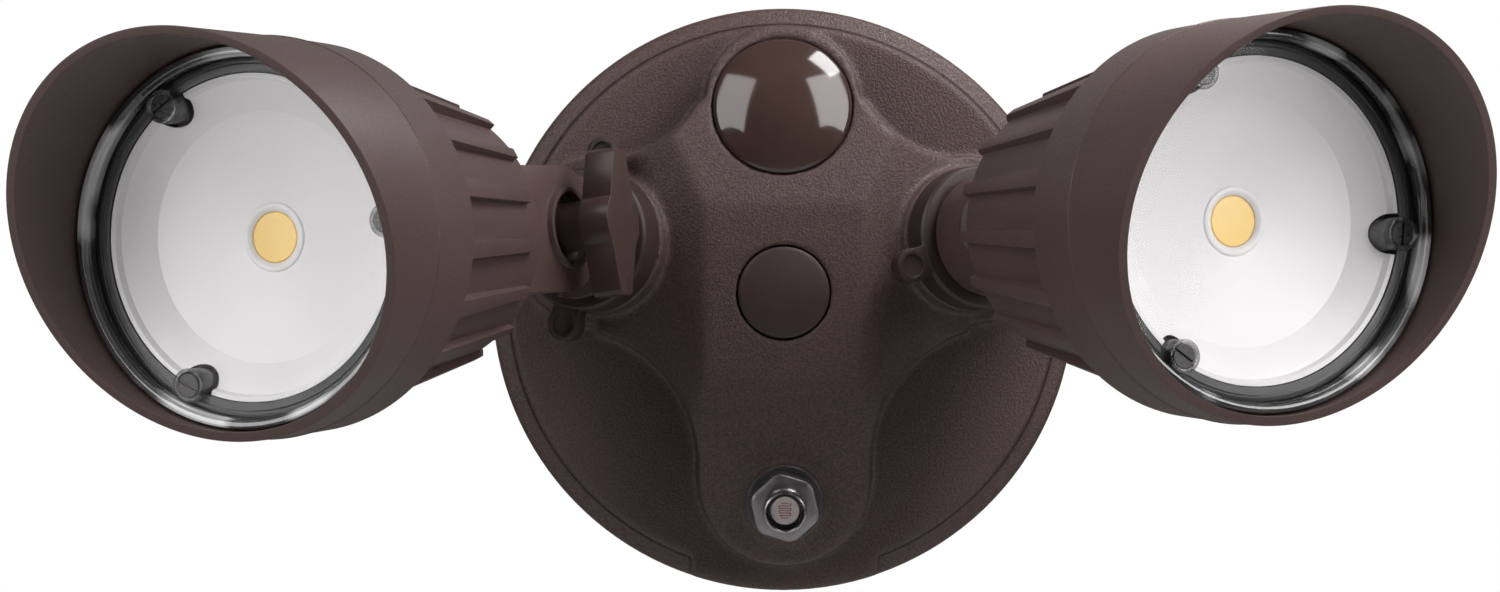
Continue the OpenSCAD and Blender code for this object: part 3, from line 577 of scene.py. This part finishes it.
def circuit_board(name, colour, tracks):
    """Lacquered board with the faint lines of its copper tracks."""
    material, nodes, links, shader = fresh_material(name)
    where = nodes.new("ShaderNodeTexCoord")
    lines = nodes.new("ShaderNodeTexBrick")
    lines.inputs["Scale"].default_value = 260
    lines.inputs["Mortar Size"].default_value = 0.04
    lines.inputs["Color1"].default_value = (*colour, 1)
    lines.inputs["Color2"].default_value = (*scaled(colour, 0.93), 1)
    lines.inputs["Mortar"].default_value = (*tracks, 1)
    links.new(where.outputs["Object"], lines.inputs["Vector"])
    links.new(lines.outputs["Color"], shader.inputs["Base Color"])
    shader.inputs["Roughness"].default_value = 0.35
    shader.inputs["Coat Weight"].default_value = 0.3
    bump_of(nodes, links, shader, lines.outputs["Fac"], 0.1, 0.00005)
    return material


MADE = {}


def finish_named(name):
    """The material of that name, made the first time that it is asked for."""
    if name in MADE:
        return MADE[name]
    colours = bpy.context.scene.light_finish
    bronze = tuple(colours.bronze)
    gloss = tuple(colours.gloss_bronze)
    makers = {
        "cover_bronze": lambda: powder_coat(
            "cover_bronze", bronze, 2100, 1.0, 0.00022, 0.4, 0.33, creased=True),
        "head_bronze": lambda: powder_coat(
            "head_bronze", scaled(bronze, 1.05), 2600, 0.5, 0.0001, 0.45, 0.1),
        "plug_bronze": lambda: moulded(
            "plug_bronze", scaled(bronze, 0.62), 0.45, 0.12, 2600, 0.3),
        "wing_bronze": lambda: moulded("wing_bronze", scaled(bronze, 0.75), 0.28, 0.04, 900, 0.2),
        "dome_gloss": lambda: moulded("dome_gloss", gloss, 0.09, 0.01, 300, 0.5),
        "ring_metal": lambda: moulded("ring_metal", scaled(bronze, 0.5), 0.42, 0.15, 2000, 0.25),
        "dark_chrome": lambda: metal("dark_chrome", (0.21, 0.20, 0.205), 0.42, 0.04),
        "bright_chrome": lambda: metal("bright_chrome", (0.28, 0.27, 0.28), 0.3, 0.04),
        "black_steel": lambda: metal("black_steel", (0.05, 0.048, 0.048), 0.3, 0.04),
        "washer_black": lambda: moulded("washer_black", (0.03, 0.027, 0.027), 0.35, 0.05),
        "zinc_steel": lambda: metal("zinc_steel", (0.60, 0.60, 0.58), 0.3, 0.1, (1, 6, 6)),
        "green_steel": lambda: metal("green_steel", (0.05, 0.30, 0.12), 0.3, 0.1),
        "lens_pane": lambda: clear_pane("lens_pane", 0.06),
        "lens_clear": lambda: clear_plastic("lens_clear", 0.8, 0.03, 0.5, 70),
        "post_clear": lambda: clear_plastic("post_clear", 0.55, 0.05, 0.3, 400),
        "reflector_white": lambda: reflector_white("reflector_white", tuple(colours.white)),
        "phosphor": lambda: phosphor("phosphor", tuple(colours.phosphor)),
        "holder_white": lambda: moulded("holder_white", (0.85, 0.84, 0.84), 0.35, 0.03),
        "gasket_black": lambda: moulded("gasket_black", (0.008, 0.008, 0.008), 0.3, 0.06),
        "wall_foam": lambda: foam("wall_foam", (0.02, 0.02, 0.02)),
        "milled_aluminium": lambda: metal(
            "milled_aluminium", (0.75, 0.75, 0.76), 0.32, 0.1, (8, 1, 1)),
        "board_white": lambda: circuit_board("board_white", (0.8, 0.8, 0.78), (0.66, 0.66, 0.62)),
        "board_green": lambda: circuit_board("board_green", (0.03, 0.16, 0.06), (0.07, 0.26, 0.1)),
        "sensor_ceramic": lambda: moulded("sensor_ceramic", (0.60, 0.53, 0.52), 0.4, 0.1),
        "sensor_track": lambda: moulded("sensor_track", (0.30, 0.13, 0.12), 0.4, 0.1),
        "nut_black": lambda: moulded("nut_black", (0.02, 0.02, 0.02), 0.5, 0.2),
    }
    MADE[name] = makers[name]()
    return MADE[name]


def paint_node(node, material):
    """Gives a carried-over node its finish."""
    piece = frame["nodes"][node]
    piece.data.materials.clear()
    piece.data.materials.append(finish_named(material))


# Pieces


class LIGHT_OT_wall_plate(bpy.types.Operator):
    """Makes the cast wall plate with its eased edges and sand-like paint"""

    bl_idname = "light.wall_plate"
    bl_label = "Wall plate"

    def execute(self, context):
        sizes = context.scene.light_cover
        bm = cast_skin("canopy", sizes.skin)
        upper = upper_arm_place().inverted()
        lower = lower_arm_place().inverted()
        dome_r = sizes.dome_radius
        plug_r = sizes.plug_radius

        def near_hole(co):
            """The edges round the domed cover, the sensor and the screw cap."""
            a, b = upper @ co, lower @ co
            return (
                abs(math.hypot(a.x, a.y) - dome_r) < 0.0012 and a.z > -0.004
                or math.hypot(b.x, b.y) < 0.0092 and b.z > -0.002
                or math.hypot(co.x, co.z - CAP_UP * MM) < plug_r + 0.0016 and co.y < -0.02)

        def hub_front(co):
            """The hub's raised faces."""
            return co.y < -0.0145 and math.hypot(co.x, co.z) < 0.0558 and not near_hole(co)

        def ridges(co):
            """The hub's ridges, which are rounded most."""
            side = abs(abs(co.x) - 0.016) < 0.0062 and co.y < -0.0255
            ends = min(abs(co.z - FLAT_TOP * MM), abs(co.z + FLAT_BOTTOM * MM)) < 0.006
            return (side or ends and co.y < -0.0285) and not near_hole(co)

        relax(bm, 1)
        relax(bm, 3, hub_front)
        relax(bm, 5, ridges)
        add_piece("wall_plate", bm, finish_named("cover_bronze"), "base", ["canopy"],
                  60)
        return {"FINISHED"}


class LIGHT_OT_plate_caps(bpy.types.Operator):
    """Makes the glossy domed cover and the cap over the centre screw"""

    bl_idname = "light.plate_caps"
    bl_label = "Domed cover and screw cap"

    def execute(self, context):
        sizes = context.scene.light_cover
        radius, rise = sizes.dome_radius / MM, sizes.dome_height / MM
        ball = (radius * radius + rise * rise) / (2 * rise)
        reach = math.asin(radius / ball)
        dome = [(0, -1.4), (radius - 0.4, -1.4), (radius, -1.0), (radius, 0.0)]
        rings = 24
        for step in range(rings):
            angle = reach * (1 - step / rings) * 0.985
            dome.append((ball * math.sin(angle), 0.2 + rise - ball + ball * math.cos(angle)))
        dome.append((0, 0.2 + rise))
        add_piece("domed_cover", turned(dome, upper_arm_place(), 192), finish_named("dome_gloss"),
                  "base", ["sensor_blank"], 50)
        neck = [(8.0, -9.6), (10.0, -9.6), (10.0, -1.5), (8.0, -1.5)]
        add_piece("domed_cover_neck", turned(neck, upper_arm_place(), 96, ring=True, ease=0.2),
                  finish_named("plug_bronze"), "base")

        cap_r = sizes.plug_radius / MM
        ball = 6 * cap_r
        crown = HUB_HEIGHT + 1.1
        inner, foot = 30.6, 28.15
        section = [(0, inner), (cap_r - 1.2, inner), (cap_r - 1.2, foot), (cap_r, foot)]
        edge = math.asin((cap_r - 0.35) / ball)
        shoulder = crown - ball + ball * math.cos(edge)
        section.append((cap_r, shoulder - 0.5))
        section.append((cap_r - 0.1, shoulder - 0.18))
        rings = 16
        for step in range(rings):
            angle = edge * (1 - step / rings)
            section.append((ball * math.sin(angle), crown - ball + ball * math.cos(angle)))
        section.append((0, crown))
        add_piece("screw_cap_piece", turned(section, centre_place(), 160),
                  finish_named("plug_bronze"), "screw_cap", ["screw_cap"], 50)
        return {"FINISHED"}


class LIGHT_OT_light_sensor(bpy.types.Operator):
    """Makes the light sensor: nut, threaded barrel, washer, disc with its track, and window"""

    bl_idname = "light.light_sensor"
    bl_label = "Light sensor"

    def execute(self, context):
        place = lower_arm_place()
        width = context.scene.light_cover.nut_width / MM
        corner = width / 2 / math.cos(math.radians(30))
        seat, nut, mouth = 1.3, 3.6, SENSOR_TOP
        floor = mouth - 2.6

        washer = [(4.45, 0.5), (7.6, 0.5), (8.0, 0.7), (8.0, 1.1), (7.7, seat), (4.45, seat)]
        add_piece("sensor_washer", turned(washer, place, 128, ring=True, ease=0.12),
                  finish_named("washer_black"), "base", ["photocell_washer"])

        bm = bmesh.new()
        stand = Matrix.Translation((0, 0, (seat + nut / 2) * MM))
        bmesh.ops.create_cone(
            bm, cap_ends=True, segments=6, radius1=corner * MM, radius2=corner * MM, depth=nut * MM,
            matrix=stand @ Matrix.Rotation(math.radians(12), 4, "Z"))
        uprights = [e for e in bm.edges if abs(e.verts[0].co.z - e.verts[1].co.z) > 1 * MM]
        bmesh.ops.bevel(
            bm, geom=uprights, offset=1.5 * MM, offset_type="OFFSET", affect="EDGES", segments=6,
            profile=0.5, material=-1, clamp_overlap=True)
        top = [f for f in bm.faces if f.normal.z > 0.9]
        bmesh.ops.inset_region(bm, faces=top, thickness=0.75 * MM, depth=0.0, use_even_offset=True)
        top = max((f for f in bm.faces if f.normal.z > 0.9), key=lambda f: f.calc_area())
        bmesh.ops.translate(bm, vec=(0, 0, 0.28 * MM), verts=top.verts)
        bmesh.ops.inset_region(bm, faces=[top], thickness=0.85 * MM, depth=0.0)
        bmesh.ops.translate(bm, vec=(0, 0, 0.12 * MM), verts=top.verts)
        ease_edges(bm, 0.14 * MM, 22, 3)
        bmesh.ops.recalc_face_normals(bm, faces=bm.faces)
        bm.transform(place)
        add_piece("sensor_nut", bm, finish_named("dark_chrome"), "base", ["photocell_nut"],
                  34)

        barrel = [(0, -7.5), (4.0, -7.5), (4.35, -7.1)]
        height = -6.8
        while height < floor + 1.2:
            barrel += [(4.37, height), (4.08, height + 0.3)]
            height += 0.6
        barrel += [(4.37, height), (4.4, mouth - 0.5), (4.25, mouth - 0.15),
                   (3.95, mouth), (3.75, mouth - 0.2), (3.72, floor), (0, floor)]
        add_piece("sensor_barrel", turned(barrel, place, 96), finish_named("bright_chrome"), "base",
                  ["photocell_barrel"], 35)

        well = [(2.97, floor + 0.02), (3.68, floor + 0.02), (3.68, floor + 1.0),
                (3.54, floor + 1.0), (3.52, floor + 0.2), (2.97, floor + 0.2)]
        add_piece("sensor_well", turned(well, place, 96, ring=True, ease=0.04),
                  finish_named("gasket_black"), "base")
        disc = [(0, floor + 0.05), (2.75, floor + 0.05), (2.95, floor + 0.2), (2.95, floor + 0.6),
                (2.88, floor + 0.7), (2.7, floor + 0.7), (2.62, floor + 0.6), (0, floor + 0.6)]
        add_piece("sensor_disc", turned(disc, place, 96), finish_named("sensor_ceramic"), "base",
                  ["photocell_disc"], 35)

        track = bmesh.new()
        rows = 7
        pitch = 0.5
        for row in range(rows):
            up = (row - (rows - 1) / 2) * pitch
            half = 1.15 if abs(up) < 1.2 else 0.7
            bmesh.ops.create_cube(
                track, size=1, matrix=Matrix.Translation((0, up * MM, (floor + 0.63) * MM))
                @ Matrix.Diagonal((2 * half * MM, 0.22 * MM, 0.1 * MM, 1)))
            if row < rows - 1:
                side = 1 if row % 2 else -1
                bmesh.ops.create_cube(
                    track, size=1,
                    matrix=Matrix.Translation(
                        (side * half * MM, (up + pitch / 2) * MM, (floor + 0.63) * MM))
                    @ Matrix.Diagonal((0.22 * MM, (pitch + 0.22) * MM, 0.1 * MM, 1)))
        ease_edges(track, 0.03 * MM, 40, 2)
        track.transform(place)
        add_piece("sensor_track", track, finish_named("sensor_track"), "base")

        window = [(0, floor + 1.05), (3.6, floor + 1.05), (3.65, floor + 1.2)]
        reach = math.radians(24)
        rings = 10
        for step in range(rings):
            angle = reach * (1 - step / rings)
            rise = (math.cos(angle) - math.cos(reach)) / 0.0865
            window.append((3.6 * math.sin(angle) / math.sin(reach), floor + 1.2 + 0.5 * rise))
        window.append((0, floor + 1.7))
        add_piece("sensor_window", turned(window, place, 96), finish_named("lens_pane"), "base",
                  ["photocell_window"], 40)
        return {"FINISHED"}


class LIGHT_OT_lamp_housings(bpy.types.Operator):
    """Makes the two ribbed housings as castings with eased ribs"""

    bl_idname = "light.lamp_housings"
    bl_label = "Lamp housings"

    def execute(self, context):
        sizes = context.scene.light_head
        for side in SIDES:
            bm = eased_copy(side + "_housing", sizes.edge / MM)
            add_piece(side + "_ribbed_housing", bm, finish_named("head_bronze"), side + "_head",
                      [side + "_housing"], 40)
        return {"FINISHED"}


class LIGHT_OT_hoods(bpy.types.Operator):
    """Turns the two visors and cuts each one at a slant"""

    bl_idname = "light.hoods"
    bl_label = "Hoods"

    def execute(self, context):
        sizes = context.scene.light_head
        rear, crease = sizes.hood_rear / MM, sizes.hood_crease / MM
        flare, wall = sizes.hood_flare / MM, sizes.hood_wall / MM
        reach, rake = sizes.hood_reach / MM, sizes.hood_rake / MM
        collar, crease_up = RIM - 21.1, RIM - 6
        front = RIM + reach + rake
        slope = (flare - crease) / (front - crease_up)
        middle = crease + slope * (RIM + reach - crease_up)
        lean = math.atan(rake / middle)
        over = 15
        far_r = flare + over * slope
        for side in SIDES:
            section = [
                (34.1, collar), (rear - 0.7, collar), (rear - 0.2, collar + 0.25),
                (rear, collar + 0.8), (crease - 0.03, crease_up - 0.25),
                (crease + 0.28, crease_up), (crease + 0.01, crease_up + 0.16),
                (far_r, front + over), (far_r - wall, front + over),
                (35.9, RIM - 2.0), (34.1, RIM - 2.0)]
            bm = turned(section, Matrix.Identity(4), sizes.steps, ring=True)
            cut = bmesh.ops.bisect_plane(
                bm, geom=list(bm.verts) + list(bm.edges) + list(bm.faces), dist=1e-7,
                plane_co=(0, 0, (RIM + reach) * MM),
                plane_no=(0, -math.sin(lean), math.cos(lean)), clear_outer=True)
            open_edges = [e for e in cut["geom_cut"] if isinstance(e, bmesh.types.BMEdge)]
            bmesh.ops.bridge_loops(bm, edges=open_edges)
            bmesh.ops.recalc_face_normals(bm, faces=bm.faces)
            ease_edges(bm, 0.42 * MM, 35, 4)
            bm.transform(head_place(side) @ Matrix.Rotation(math.radians(HOOD_TURN[side]), 4, "Z"))
            add_piece(side + "_visor", bm, finish_named("head_bronze"), side + "_hood",
                      [side + "_hood"], 30)
        return {"FINISHED"}


class LIGHT_OT_lenses(bpy.types.Operator):
    """Makes the clear lenses with their rims and screw posts, and the black seals behind them"""

    bl_idname = "light.lenses"
    bl_label = "Lenses"

    def execute(self, context):
        sizes = context.scene.light_head
        outer = sizes.lens_radius / MM
        steps = sizes.steps
        base = LENS_BASE
        for side in SIDES:
            place = head_place(side)
            head = side + "_head"
            pane = [(0, base + 0.2), (outer - 2.0, base + 0.2), (outer - 2.0, base + 2.1),
                    (0, base + 2.1)]
            add_piece(side + "_lens_pane", turned(pane, place, steps), finish_named("lens_pane"),
                      head, [side + "_lens"], 40)
            rim = [(outer - 1.9, base), (outer, base), (outer, base + 3.7),
                   (outer - 1.3, base + 3.7), (outer - 1.5, base + 2.5), (outer - 1.9, base + 2.3)]
            add_piece(side + "_lens_rim", turned(rim, place, steps, ring=True, ease=0.62),
                      finish_named("lens_clear"), head)
            seal = [(30.85, RIM - 1.4), (33.6, RIM - 1.4), (33.6, base - 0.05), (32.6, base - 0.02),
                    (32.3, base - 0.25), (30.85, base - 0.25)]
            add_piece(side + "_lens_seal", turned(seal, place, steps, ring=True, ease=0.08),
                      finish_named("gasket_black"), head, [side + "_lens_gasket"])
            for post in range(3):
                spot = place @ Matrix.Rotation(math.radians(120 * post), 4, "Z")
                spot = spot @ Matrix.Translation((SCREW_CIRCLE * MM, 0, 0))
                tube = [(1.35, base - 5.2), (3.0, base - 5.2), (3.2, base - 4.9), (3.2, base + 2.1),
                        (2.3, base + 2.1), (2.25, base + 0.3), (1.35, base + 0.3)]
                add_piece(f"{side}_lens_post_{post + 1}",
                          turned(tube, spot, 48, ring=True, ease=0.15),
                          finish_named("post_clear"), head)
            paint_node(side + "_lens_screws", "black_steel")
        return {"FINISHED"}


class LIGHT_OT_light_sources(bpy.types.Operator):
    """Makes the white reflectors and the light sources in them"""

    bl_idname = "light.light_sources"
    bl_label = "Reflectors and light sources"

    def execute(self, context):
        steps = context.scene.light_head.steps
        floor = BOARD_FACE
        for side in SIDES:
            place = head_place(side)
            head = side + "_head"
            paint_node(side + "_reflector", "reflector_white")
            paint_node(side + "_heat_plate", "milled_aluminium")
            paint_node(side + "_led_board", "board_white")
            paint_node(side + "_driver", "board_green")
            holder = [(4.85, floor), (6.58, floor), (6.58, floor + 1.0), (6.35, floor + 1.25),
                      (5.9, floor + 1.35), (5.6, floor + 1.3), (4.9, floor + 0.75),
                      (4.85, floor + 0.5)]
            add_piece(side + "_source_holder", turned(holder, place, steps, ring=True, ease=0.1),
                      finish_named("holder_white"), head, [side + "_led_holder"],
                      50)
            chip = [(0, floor + 0.1), (4.6, floor + 0.1), (4.78, floor + 0.4), (4.6, floor + 0.72),
                    (3.5, floor + 0.82), (0, floor + 0.86)]
            add_piece(side + "_light_source", turned(chip, place, steps), finish_named("phosphor"),
                      head, [side + "_led_disc"])
        return {"FINISHED"}


class LIGHT_OT_knuckles(bpy.types.Operator):
    """Makes the arms, lock rings and wing nuts with rounded edges"""

    bl_idname = "light.knuckles"
    bl_label = "Knuckles"

    def execute(self, context):
        for side in SIDES:
            add_piece(side + "_cast_arm", eased_copy(side + "_arm", 0.5),
                      finish_named("head_bronze"), side + "_arm", [side + "_arm"],
                      40)
            add_piece(side + "_ring_nut", eased_copy(side + "_lock_ring", 0.3),
                      finish_named("ring_metal"), side + "_lock_ring", [side + "_lock_ring"],
                      40)
            add_piece(side + "_wing", eased_copy(side + "_wing_nut", 0.22, 20, 3),
                      finish_named("wing_bronze"), side + "_wing_nut", [side + "_wing_nut"],
                      40)
            paint_node(side + "_tooth_washer", "zinc_steel")
            paint_node(side + "_pivot_bolt", "zinc_steel")
        return {"FINISHED"}


class LIGHT_OT_wall_side(bpy.types.Operator):
    """Finishes the pieces behind the wall plate"""

    bl_idname = "light.wall_side"
    bl_label = "Wall side"

    def execute(self, context):
        add_piece("slotted_strap", eased_copy("crossbar", 0.25), finish_named("zinc_steel"), "base",
                  ["crossbar"], 40)
        paint_node("wall_gasket", "wall_foam")
        paint_node("mounting_screw", "zinc_steel")
        paint_node("ground_screw", "green_steel")
        paint_node("blank_nut", "nut_black")
        return {"FINISHED"}


# Stage


def softbox(name, where, towards, width, height, brightness):
    """A rectangular lamp whose surface has the given brightness."""
    lamp = bpy.data.lights.new(name, "AREA")
    lamp.shape = "RECTANGLE"
    lamp.size = width
    lamp.size_y = height
    lamp.energy = brightness * math.pi * width * height
    piece = bpy.data.objects.new(name, lamp)
    piece.location = where
    piece.rotation_euler = (Vector(towards) - Vector(where)).to_track_quat("-Z", "Y").to_euler()
    bpy.context.scene.collection.objects.link(piece)
    return piece


class LIGHT_OT_stage(bpy.types.Operator):
    """Sets the camera, the lamps, the room and the pale floor"""

    bl_idname = "light.stage"
    bl_label = "Stage"

    def execute(self, context):
        stage = context.scene.light_stage
        self.camera(context, stage)
        self.lamps(stage)
        self.room(context, stage)
        self.floor(context)
        context.scene.view_settings.view_transform = "Standard"
        return {"FINISHED"}

    def camera(self, context, stage):
        """Puts the camera where the picture is taken from."""
        data = bpy.data.cameras.new("camera")
        data.sensor_width = 36.0
        data.lens = stage.lens
        data.clip_start = 0.05
        data.clip_end = 50
        camera = bpy.data.objects.new("camera", data)
        context.scene.collection.objects.link(camera)
        turn = (
            Matrix.Rotation(math.radians(CAMERA_ROLL), 4, "Y")
            @ Matrix.Rotation(math.radians(CAMERA_TILT), 4, "X")
            @ Matrix.Rotation(math.radians(CAMERA_PAN), 4, "Z"))
        camera.matrix_world = (
            turn.inverted() @ Matrix.Translation((CAMERA_SIDE, -stage.distance, CAMERA_UP))
            @ Matrix.Rotation(math.radians(90), 4, "X"))
        context.scene.camera = camera

    def lamps(self, stage):
        """Puts up the two tall softboxes and the two small ones above the plate."""
        aim = (0, -0.03, 0)
        softbox("softbox_left", (-0.36, -0.39, 0.185), aim, 0.26, 0.60, stage.left_light)
        softbox("softbox_right", (0.35, -0.38, 0.22), aim, 0.27, 0.52, stage.right_light)
        top = softbox("softbox_top", (0.15, -0.15, 0.25), aim, 0.15, 0.12, stage.top_light)
        # The glossy cover mirrors the other lamps only.
        top.visible_glossy = False
        softbox("softbox_grazing", (0.12, -0.07, 0.22), aim, 0.10, 0.08, stage.grazing_light)

    def room(self, context, stage):
        """Makes a dim room with a white backdrop behind the light."""
        world = bpy.data.worlds.new("room")
        world.use_nodes = True
        context.scene.world = world
        nodes, links = world.node_tree.nodes, world.node_tree.links
        nodes.clear()
        out = nodes.new("ShaderNodeOutputWorld")
        where = nodes.new("ShaderNodeTexCoord")
        apart = nodes.new("ShaderNodeSeparateXYZ")
        links.new(where.outputs["Generated"], apart.inputs["Vector"])
        upward = nodes.new("ShaderNodeMapRange")
        upward.inputs["From Min"].default_value = -0.6
        upward.inputs["From Max"].default_value = 0.9
        upward.inputs["To Min"].default_value = 0.25 * stage.room_light
        upward.inputs["To Max"].default_value = 1.6 * stage.room_light
        links.new(apart.outputs["Z"], upward.inputs["Value"])
        glow = nodes.new("ShaderNodeBackground")
        glow.inputs["Color"].default_value = (1, 1, 1, 1)
        links.new(upward.outputs["Result"], glow.inputs["Strength"])
        backdrop = nodes.new("ShaderNodeBackground")
        backdrop.inputs["Color"].default_value = (1, 1, 1, 1)
        backdrop.inputs["Strength"].default_value = 1.0
        # The backdrop stands behind the light, so metal and clear plastic show it from there.
        behind = nodes.new("ShaderNodeMapRange")
        behind.inputs["From Min"].default_value = 0.05
        behind.inputs["From Max"].default_value = 0.45
        behind.inputs["To Max"].default_value = 0.35
        links.new(apart.outputs["Y"], behind.inputs["Value"])
        path = nodes.new("ShaderNodeLightPath")
        mirrored = math_of(
            nodes, links, "MAXIMUM", path.outputs["Is Glossy Ray"],
            path.outputs["Is Transmission Ray"])
        seen_behind = math_of(nodes, links, "MULTIPLY", mirrored, behind.outputs["Result"])
        seen = math_of(nodes, links, "MAXIMUM", path.outputs["Is Camera Ray"], seen_behind)
        mix = nodes.new("ShaderNodeMixShader")
        links.new(seen, mix.inputs["Fac"])
        links.new(glow.outputs["Background"], mix.inputs[1])
        links.new(backdrop.outputs["Background"], mix.inputs[2])
        links.new(mix.outputs["Shader"], out.inputs["Surface"])

    def floor(self, context):
        """Lays a pale floor that fades to white."""
        bm = bmesh.new()
        bmesh.ops.create_grid(
            bm, x_segments=8, y_segments=8, size=2.6, matrix=Matrix.Translation((0, 0, -0.32)))
        mesh = bpy.data.meshes.new("floor")
        bm.to_mesh(mesh)
        bm.free()
        floor = bpy.data.objects.new("floor", mesh)
        context.scene.collection.objects.link(floor)
        material, nodes, links, shader = fresh_material("floor_white")
        shader.inputs["Base Color"].default_value = (0.86, 0.86, 0.86, 1)
        shader.inputs["Roughness"].default_value = 0.9
        shader.inputs["Specular IOR Level"].default_value = 0.0
        glow = nodes.new("ShaderNodeEmission")
        glow.inputs["Strength"].default_value = 1.0
        where = nodes.new("ShaderNodeTexCoord")
        distance = nodes.new("ShaderNodeVectorMath")
        distance.operation = "LENGTH"
        links.new(where.outputs["Object"], distance.inputs[0])
        fade = nodes.new("ShaderNodeMapRange")
        fade.inputs["From Min"].default_value = 0.5
        fade.inputs["From Max"].default_value = 1.6
        fade.inputs["To Min"].default_value = 0.55
        fade.inputs["To Max"].default_value = 1.0
        links.new(distance.outputs["Value"], fade.inputs["Value"])
        path = nodes.new("ShaderNodeLightPath")
        seen = math_of(
            nodes, links, "MULTIPLY", path.outputs["Is Camera Ray"], fade.outputs["Result"])
        mix = nodes.new("ShaderNodeMixShader")
        links.new(seen, mix.inputs["Fac"])
        links.new(shader.outputs["BSDF"], mix.inputs[1])
        links.new(glow.outputs["Emission"], mix.inputs[2])
        links.new(mix.outputs["Shader"], nodes["Material Output"].inputs["Surface"])
        mesh.materials.append(material)


# Sidebar and registering


class LIGHT_PT_sidebar(bpy.types.Panel):
    """Lists the settings and the steps that make the light"""

    bl_idname = "LIGHT_PT_sidebar"
    bl_label = "Security light"
    bl_space_type = "VIEW_3D"
    bl_region_type = "UI"
    bl_category = "Light"

    def draw(self, context):
        layout = self.layout
        for group in ("light_cover", "light_head", "light_finish", "light_stage"):
            settings = getattr(context.scene, group)
            box = layout.box()
            for name in settings.bl_rna.properties.keys():
                if name not in ("rna_type", "name"):
                    box.prop(settings, name)
        for step in STEPS:
            layout.operator(step.bl_idname)


GROUPS = (
    ("light_cover", CoverSettings),
    ("light_head", HeadSettings),
    ("light_finish", FinishSettings),
    ("light_stage", StageSettings),
)
STEPS = (
    LIGHT_OT_stage, LIGHT_OT_wall_plate, LIGHT_OT_plate_caps, LIGHT_OT_light_sensor,
    LIGHT_OT_lamp_housings, LIGHT_OT_hoods, LIGHT_OT_lenses, LIGHT_OT_light_sources,
    LIGHT_OT_knuckles, LIGHT_OT_wall_side,
)


def register():
    """Registers the settings, the steps and the sidebar."""
    for name, group in GROUPS:
        bpy.utils.register_class(group)
        setattr(bpy.types.Scene, name, PointerProperty(type=group))
    for step in STEPS:
        bpy.utils.register_class(step)
    bpy.utils.register_class(LIGHT_PT_sidebar)


def unregister():
    """Takes the sidebar, the steps and the settings away again."""
    bpy.utils.unregister_class(LIGHT_PT_sidebar)
    for step in reversed(STEPS):
        bpy.utils.unregister_class(step)
    for name, group in reversed(GROUPS):
        delattr(bpy.types.Scene, name)
        bpy.utils.unregister_class(group)


def main():
    """Makes the whole light."""
    register()
    for step in STEPS:
        group, name = step.bl_idname.split(".")
        getattr(getattr(bpy.ops, group), name)()


if __name__ == "__main__":
    main()
